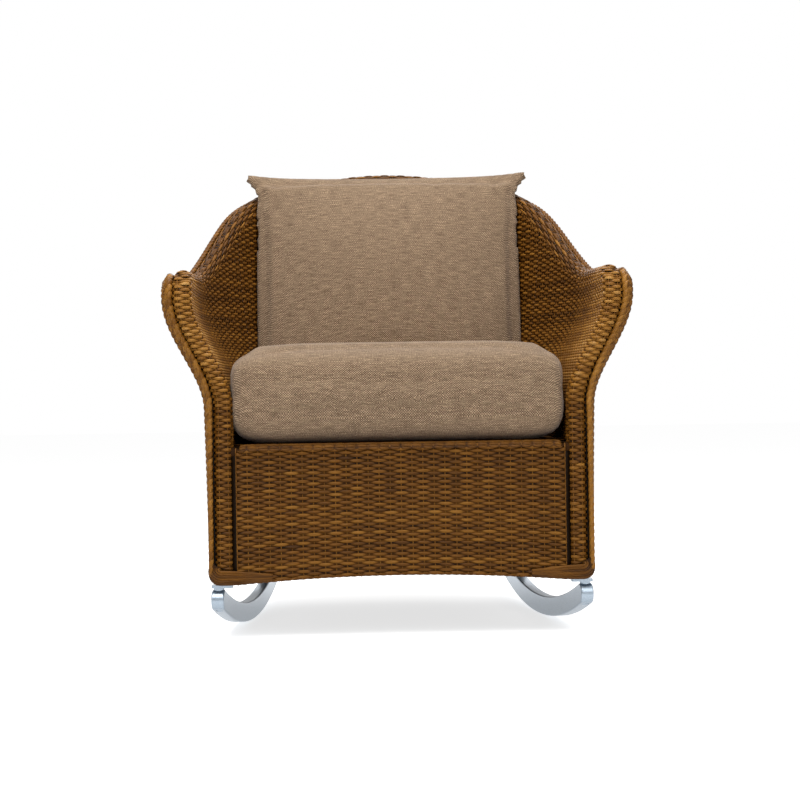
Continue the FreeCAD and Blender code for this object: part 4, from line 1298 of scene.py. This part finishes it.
@dataclass
class Windings:
    """The strands wound round the four feet."""

    shell: Shell
    finishes: Finishes
    reach: float = 0.085
    corner: float = 0.0265
    rear_half: float = 0.26
    rear_depth: float = 0.648
    rear_height: float = 0.074

    def front(self, side: int) -> None:
        """Six strands that turn round the foot's lower corner and run on along the apron.

        On the front, unrolled, strand k is an arc of radius 26.5 mm - 4.3 mm k about one
        centre and then follows the apron's lower edge.
        """
        strands = Strands(60 + side)
        sizes = self.shell.sizes
        for k in range(6):
            arc = self.corner - 0.0043 * k
            turn = np.radians(np.linspace(150, 270, 16))
            u = -0.008 + arc * np.cos(turn)
            z = sizes.base_height + 0.029 + arc * np.sin(turn)
            share = np.linspace(0, 1, 14)[1:]
            far = u[-1] + (self.reach - u[-1]) * share
            edge = 0.015 * (1 - ((sizes.base_half - far) / sizes.base_half) ** 2)
            z_far = sizes.base_height + edge + 0.0022 + (0.0034 - 0.0018 * share) * k
            z = np.concatenate([z, z[-1] + (z_far - z[-1]) * eased(share)])
            u = np.concatenate([u, far])
            angle = pi / 2 + np.minimum(u, 0.0) / 0.024
            sunk = 0.003 * np.clip((np.radians(190) - np.append(turn, [5.0] * 13)) / 0.7, 0, 1)
            radius = 0.0204 + 0.0095 * np.cos(angle) ** 2 - sunk
            x = side * (sizes.base_half + radius * np.cos(angle) - np.maximum(u, 0.0))
            y = sizes.post_depth - radius * np.sin(angle)
            y += (0.0052 - y) * eased(u / 0.04) * (u > 0)
            normal = np.stack([side * np.cos(angle), -np.sin(angle), np.zeros_like(z)], axis=1)
            path = np.stack([x, y - sizes.middle, z], axis=1)
            # Painted shade: where a strand sinks under its neighbours at the corner, low paints it
            # darker.
            strands.add(path, normal, 0.0027, 0.0015, 0.1 + 0.12 * (k % 3), low=sunk / 0.003)
        word = "left" if side < 0 else "right"
        item = strands.to_object(f"foot_winding_{word}")
        settle(item, self.finishes.resin, "chair", "resin_weave", f"foot_wrap_{word}")

    def rear(self, side: int) -> None:
        """Rings round a rear foot."""
        strands = Strands(70 + side)
        lean = unit(self.shell.rail.at(np.array([8 + side * 2.0])) - np.array([[
            side * self.rear_half, self.rear_depth - self.shell.sizes.middle, self.rear_height
        ]]))[0]
        turn = np.linspace(0, 2 * pi, 19)[:-1]
        for row in range(5):
            foot = np.array([
                side * self.rear_half, self.rear_depth - self.shell.sizes.middle,
                self.rear_height,
            ]) + lean / lean[2] * (0.0026 + 0.0052 * row)
            normal = np.stack([np.cos(turn), np.sin(turn), np.zeros_like(turn)], axis=1)
            over = np.cos(3 * turn + pi * row)
            closed_row(strands, foot + normal * 0.0156, normal, over, row, Layer.POST, 0.0008)
        word = "left" if side < 0 else "right"
        item = strands.to_object(f"rear_foot_winding_{word}")
        settle(item, self.finishes.resin, "chair", "resin_weave", f"rear_foot_wrap_{word}")

    def build(self) -> None:
        """All four."""
        for side in (-1, 1):
            self.front(side)
            self.rear(side)


# Cushions

@dataclass
class Cushion:
    """One stuffed cushion, swelled by a cloth simulation from its CAD core."""

    body: str
    fill: float
    cap: float
    limit: Callable[[Array], Array]
    voxel: float = 0.0055
    cover: float = 0.0033
    sink: float = 0.001
    pressure: float = 4.0
    frames: int = 20

    def remeshed(self) -> bpy.types.Object:
        """An even mesh of the core."""
        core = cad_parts[self.body + "_core"]
        item = linked(bpy.data.objects.new(self.body + "_fabric", core.data.copy()))
        modifier = item.modifiers.new("remesh", "REMESH")
        modifier.mode = "VOXEL"
        modifier.voxel_size = self.voxel
        self.apply(item)
        shape = coordinates(item.data) + normals_of(item.data) * self.cover
        item.data.vertices.foreach_set("co", shape.astype(np.float32).ravel())
        item.data.update()
        return item

    @staticmethod
    def apply(item: bpy.types.Object) -> None:
        """Keeps what the modifiers make and removes them."""
        bpy.context.view_layer.update()
        graph = bpy.context.evaluated_depsgraph_get()
        made = bpy.data.meshes.new_from_object(item.evaluated_get(graph))
        item.modifiers.clear()
        item.data = made

    def swell(self, item: bpy.types.Object) -> None:
        """Blows the cushion up a little, with each point's way out, in and along capped."""
        rest = coordinates(item.data)
        out = normals_of(item.data)
        cloth = item.modifiers.new("cloth", "CLOTH")
        settings = cloth.settings
        settings.quality = 5
        settings.use_pressure = True
        settings.uniform_pressure_force = self.pressure
        settings.effector_weights.gravity = 0.0
        settings.tension_stiffness = 12
        settings.compression_stiffness = 12
        settings.bending_stiffness = 1.5
        cloth.collision_settings.use_collision = False
        scene = bpy.context.scene
        scene.frame_start, scene.frame_end = 1, self.frames
        cloth.point_cache.frame_start, cloth.point_cache.frame_end = 1, self.frames
        for number in range(1, self.frames + 1):
            scene.frame_set(number)
        graph = bpy.context.evaluated_depsgraph_get()
        moved = coordinates(item.evaluated_get(graph).data) - rest
        item.modifiers.clear()
        scene.frame_set(1)
        raised = np.sum(moved * out, axis=1, keepdims=True)
        slid = moved - out * raised
        way = np.linalg.norm(slid, axis=1, keepdims=True)
        slid *= np.minimum(1.0, self.sink / np.maximum(way, 1e-9))
        moved = slid + out * np.clip(raised, -self.sink, self.cap)
        item.data.vertices.foreach_set("co", (rest + moved).astype(np.float32).ravel())

    def build(self, finishes: Finishes) -> bpy.types.Object:
        """The cushion, in place of its CAD cover and core."""
        item = self.remeshed()
        self.swell(item)
        shape = self.limit(coordinates(item.data))
        item.data.vertices.foreach_set("co", shape.astype(np.float32).ravel())
        item.data.polygons.foreach_set("use_smooth", np.ones(len(item.data.polygons), bool))
        item.data.update()
        log.info("%s: %d faces", item.name, len(item.data.polygons))
        settle(
            item, finishes.fabric, self.body, "basket_weave_fabric",
            self.body + "_cover", self.body + "_core",
        )
        return item


def coordinates(mesh: bpy.types.Mesh) -> Array:
    """A mesh's points."""
    flat = np.empty(len(mesh.vertices) * 3, np.float32)
    mesh.vertices.foreach_get("co", flat)
    return flat.reshape(-1, 3).astype(float)


def normals_of(mesh: bpy.types.Mesh) -> Array:
    """A mesh's unit normals at its points."""
    flat = np.empty(len(mesh.vertices) * 3, np.float32)
    mesh.vertex_normals.foreach_get("vector", flat)
    return flat.reshape(-1, 3).astype(float)


def seat_limit(points: Array) -> Array:
    """Fills out the front corners, and keeps the seat cushion between its neighbours.

    A corner of radius r grows to |u|^3.2 + |v|^3.2 = r^3.2 in plan.
    """
    corner = np.stack([np.abs(points[:, 0]) - 0.249, -0.372 - points[:, 1]], axis=1)
    round_off = (corner > 0.001).all(axis=1)
    reach = corner[round_off]
    grown = np.linalg.norm(reach, axis=1) / np.sum(reach**3.2, axis=1) ** (1 / 3.2)
    side = np.sign(points[round_off, 0])
    points[round_off, 0] = side * (0.249 + reach[:, 0] * grown)
    points[round_off, 1] = -0.372 - reach[:, 1] * grown
    points[:, 0] *= np.where(points[:, 0] < 0, 1.032, 1.008)
    points[:, 0] = np.clip(points[:, 0], -0.3042, 0.2968)
    points[:, 1] = np.clip(points[:, 1], -0.4205, 0.1168)
    points[:, 2] = np.clip(points[:, 2], 0.3497, 0.5305)
    return points


def back_limit(points: Array) -> Array:
    """Lifts the ears, and keeps the cushion on the deck and behind the seat cushion."""
    x, z = points[:, 0] / 0.285, points[:, 2]
    upper = np.clip((z - 0.8) / 0.09, 0, 1)
    points[:, 0] *= 1.036 - 0.02 * np.exp(-((z - 0.845) / 0.022) ** 2)
    points[:, 2] += 0.009 * np.abs(x) ** 6 * upper - 0.002 * upper
    points[:, 0] = np.clip(points[:, 0], -0.291, 0.291)
    points[:, 1] = np.clip(points[:, 1], 0.1188, 0.29)
    points[:, 2] = np.clip(points[:, 2], 0.3497, 0.903)
    return points


# The studio

@dataclass(frozen=True)
class Lamp:
    """One soft area lamp that faces the chair."""

    name: str
    place: tuple[float, float, float]
    size: float
    watts: float

    def build(self) -> None:
        """Hangs it."""
        data = bpy.data.lights.new(self.name, "AREA")
        data.shape = "SQUARE"
        data.size = self.size
        data.energy = self.watts
        item = linked(bpy.data.objects.new(self.name, data))
        item.location = self.place
        aim = Vector((0.0, 0.0, 0.45)) - Vector(self.place)
        item.rotation_mode = "QUATERNION"
        item.rotation_quaternion = aim.to_track_quat("-Z", "Y")


@dataclass(frozen=True)
class Studio:
    """Floor, light, white surroundings and the camera."""

    lamps: tuple[Lamp, ...] = (
        Lamp("key", (-1.3, -2.2, 2.9), 1.8, 68.0),
        Lamp("fill", (1.9, -2.6, 2.3), 2.2, 38.0),
        Lamp("top", (0.1, -0.3, 3.4), 1.4, 64.0),
        Lamp("rear", (0.4, 3.2, 2.2), 2.2, 26.0),
    )
    surround: float = 0.3
    camera_place: tuple[float, float, float] = (-0.126, -4.219, 0.442)
    camera_aim: tuple[float, float, float] = (0.0332, 0.9994, 0.0)
    lens: float = 96.0
    shift_y: float = -0.0125
    roll: float = -0.9

    def floor(self) -> None:
        """A pale floor, which shows near white and keeps the chair's shadow."""
        mesh = bpy.data.meshes.new("floor")
        corners = [(-20, -20, 0), (20, -20, 0), (20, 20, 0), (-20, 20, 0)]
        mesh.from_pydata(corners, [], [(0, 1, 2, 3)])
        item = linked(bpy.data.objects.new("floor", mesh))
        material = bpy.data.materials.new("floor")
        material.use_nodes = True
        tree = material.node_tree
        tree.nodes.clear()
        matt = add_node(tree, "ShaderNodeBsdfDiffuse", {"Color": colour(Tint.FLOOR)})
        path = add_node(tree, "ShaderNodeLightPath")
        seen = maths(
            tree, "MAXIMUM", path.outputs["Is Camera Ray"], path.outputs["Is Glossy Ray"]
        )
        lift = maths(tree, "MULTIPLY", seen, 0.73)
        glow = add_node(
            tree, "ShaderNodeEmission", {"Color": colour(Tint.WHITE), "Strength": lift}
        )
        both = add_node(
            tree, "ShaderNodeAddShader", {0: matt.outputs["BSDF"], 1: glow.outputs["Emission"]}
        )
        output = add_node(tree, "ShaderNodeOutputMaterial")
        tree.links.new(both.outputs["Shader"], output.inputs["Surface"])
        item.data.materials.append(material)

    def world(self) -> None:
        """White to the camera and to reflections, and a dimmer even light to the rest."""
        world = bpy.data.worlds.new("studio")
        bpy.context.scene.world = world
        world.use_nodes = True
        tree = world.node_tree
        tree.nodes.clear()
        path = add_node(tree, "ShaderNodeLightPath")
        shown = maths(
            tree, "MAXIMUM", path.outputs["Is Camera Ray"],
            maths(
                tree, "MAXIMUM", path.outputs["Is Glossy Ray"], path.outputs["Is Transmission Ray"]
            ),
        )
        strength = maths(tree, "MULTIPLY_ADD", shown, 1.0 - self.surround, self.surround)
        background = add_node(
            tree, "ShaderNodeBackground", {"Color": colour(Tint.WHITE), "Strength": strength}
        )
        output = add_node(tree, "ShaderNodeOutputWorld")
        tree.links.new(background.outputs["Background"], output.inputs["Surface"])

    def camera(self) -> None:
        """The camera at the photograph's place."""
        data = bpy.data.cameras.new("camera")
        data.lens = self.lens
        data.sensor_width = 36.0
        data.shift_y = self.shift_y
        item = linked(bpy.data.objects.new("camera", data))
        item.location = self.camera_place
        item.rotation_mode = "QUATERNION"
        aim = Vector(self.camera_aim).to_track_quat("-Z", "Y")
        item.rotation_quaternion = aim @ Quaternion((0.0, 0.0, 1.0), radians(self.roll))
        bpy.context.scene.camera = item

    def build(self) -> None:
        """Sets it all up."""
        bpy.context.scene.view_settings.view_transform = "Standard"
        self.floor()
        self.world()
        for lamp in self.lamps:
            lamp.build()
        self.camera()


SHOWN_NODES: dict[str, tuple[str, ...]] = {
    "coat": (
        "front_post_left", "front_post_right", "top_rail", "rear_post_left", "rear_post_right",
        "base_rail_left", "base_rail_right", "base_rail_rear", "seat_rail_front",
        "seat_rail_rear", "seat_rail_left", "seat_rail_right", "apron_rail", "back_upright",
        "deck_slats",
    ),
    "bar": ("rocker_left", "rocker_right", "foot_plates", "rocker_spacers"),
    "zinc": ("rocker_bolts",),
}


def finish_nodes(finishes: Finishes) -> None:
    """Gives every CAD node that stays in view its material."""
    for finish, names in SHOWN_NODES.items():
        for name in names:
            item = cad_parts[name]
            item.data.materials.clear()
            item.data.materials.append(getattr(finishes, finish))


def main() -> None:
    """Builds the whole scene."""
    logging.basicConfig(level=logging.INFO, format="%(name)s %(message)s")
    finishes = Finishes.build()
    finish_nodes(finishes)
    Cushion("seat_cushion", 0.85, 0.006, seat_limit).build(finishes)
    Cushion("back_cushion", 0.7, 0.007, back_limit).build(finishes)
    shell = Shell(Barrel())
    woven = WovenShell(shell, finishes)
    woven.inner()
    woven.outer()
    woven.rim()
    Apron(shell.sizes, finishes).build()
    Deck(shell, finishes).build()
    Plait(shell, finishes).build()
    Windings(shell, finishes).build()
    Studio().build()


if __name__ == "__main__":
    main()
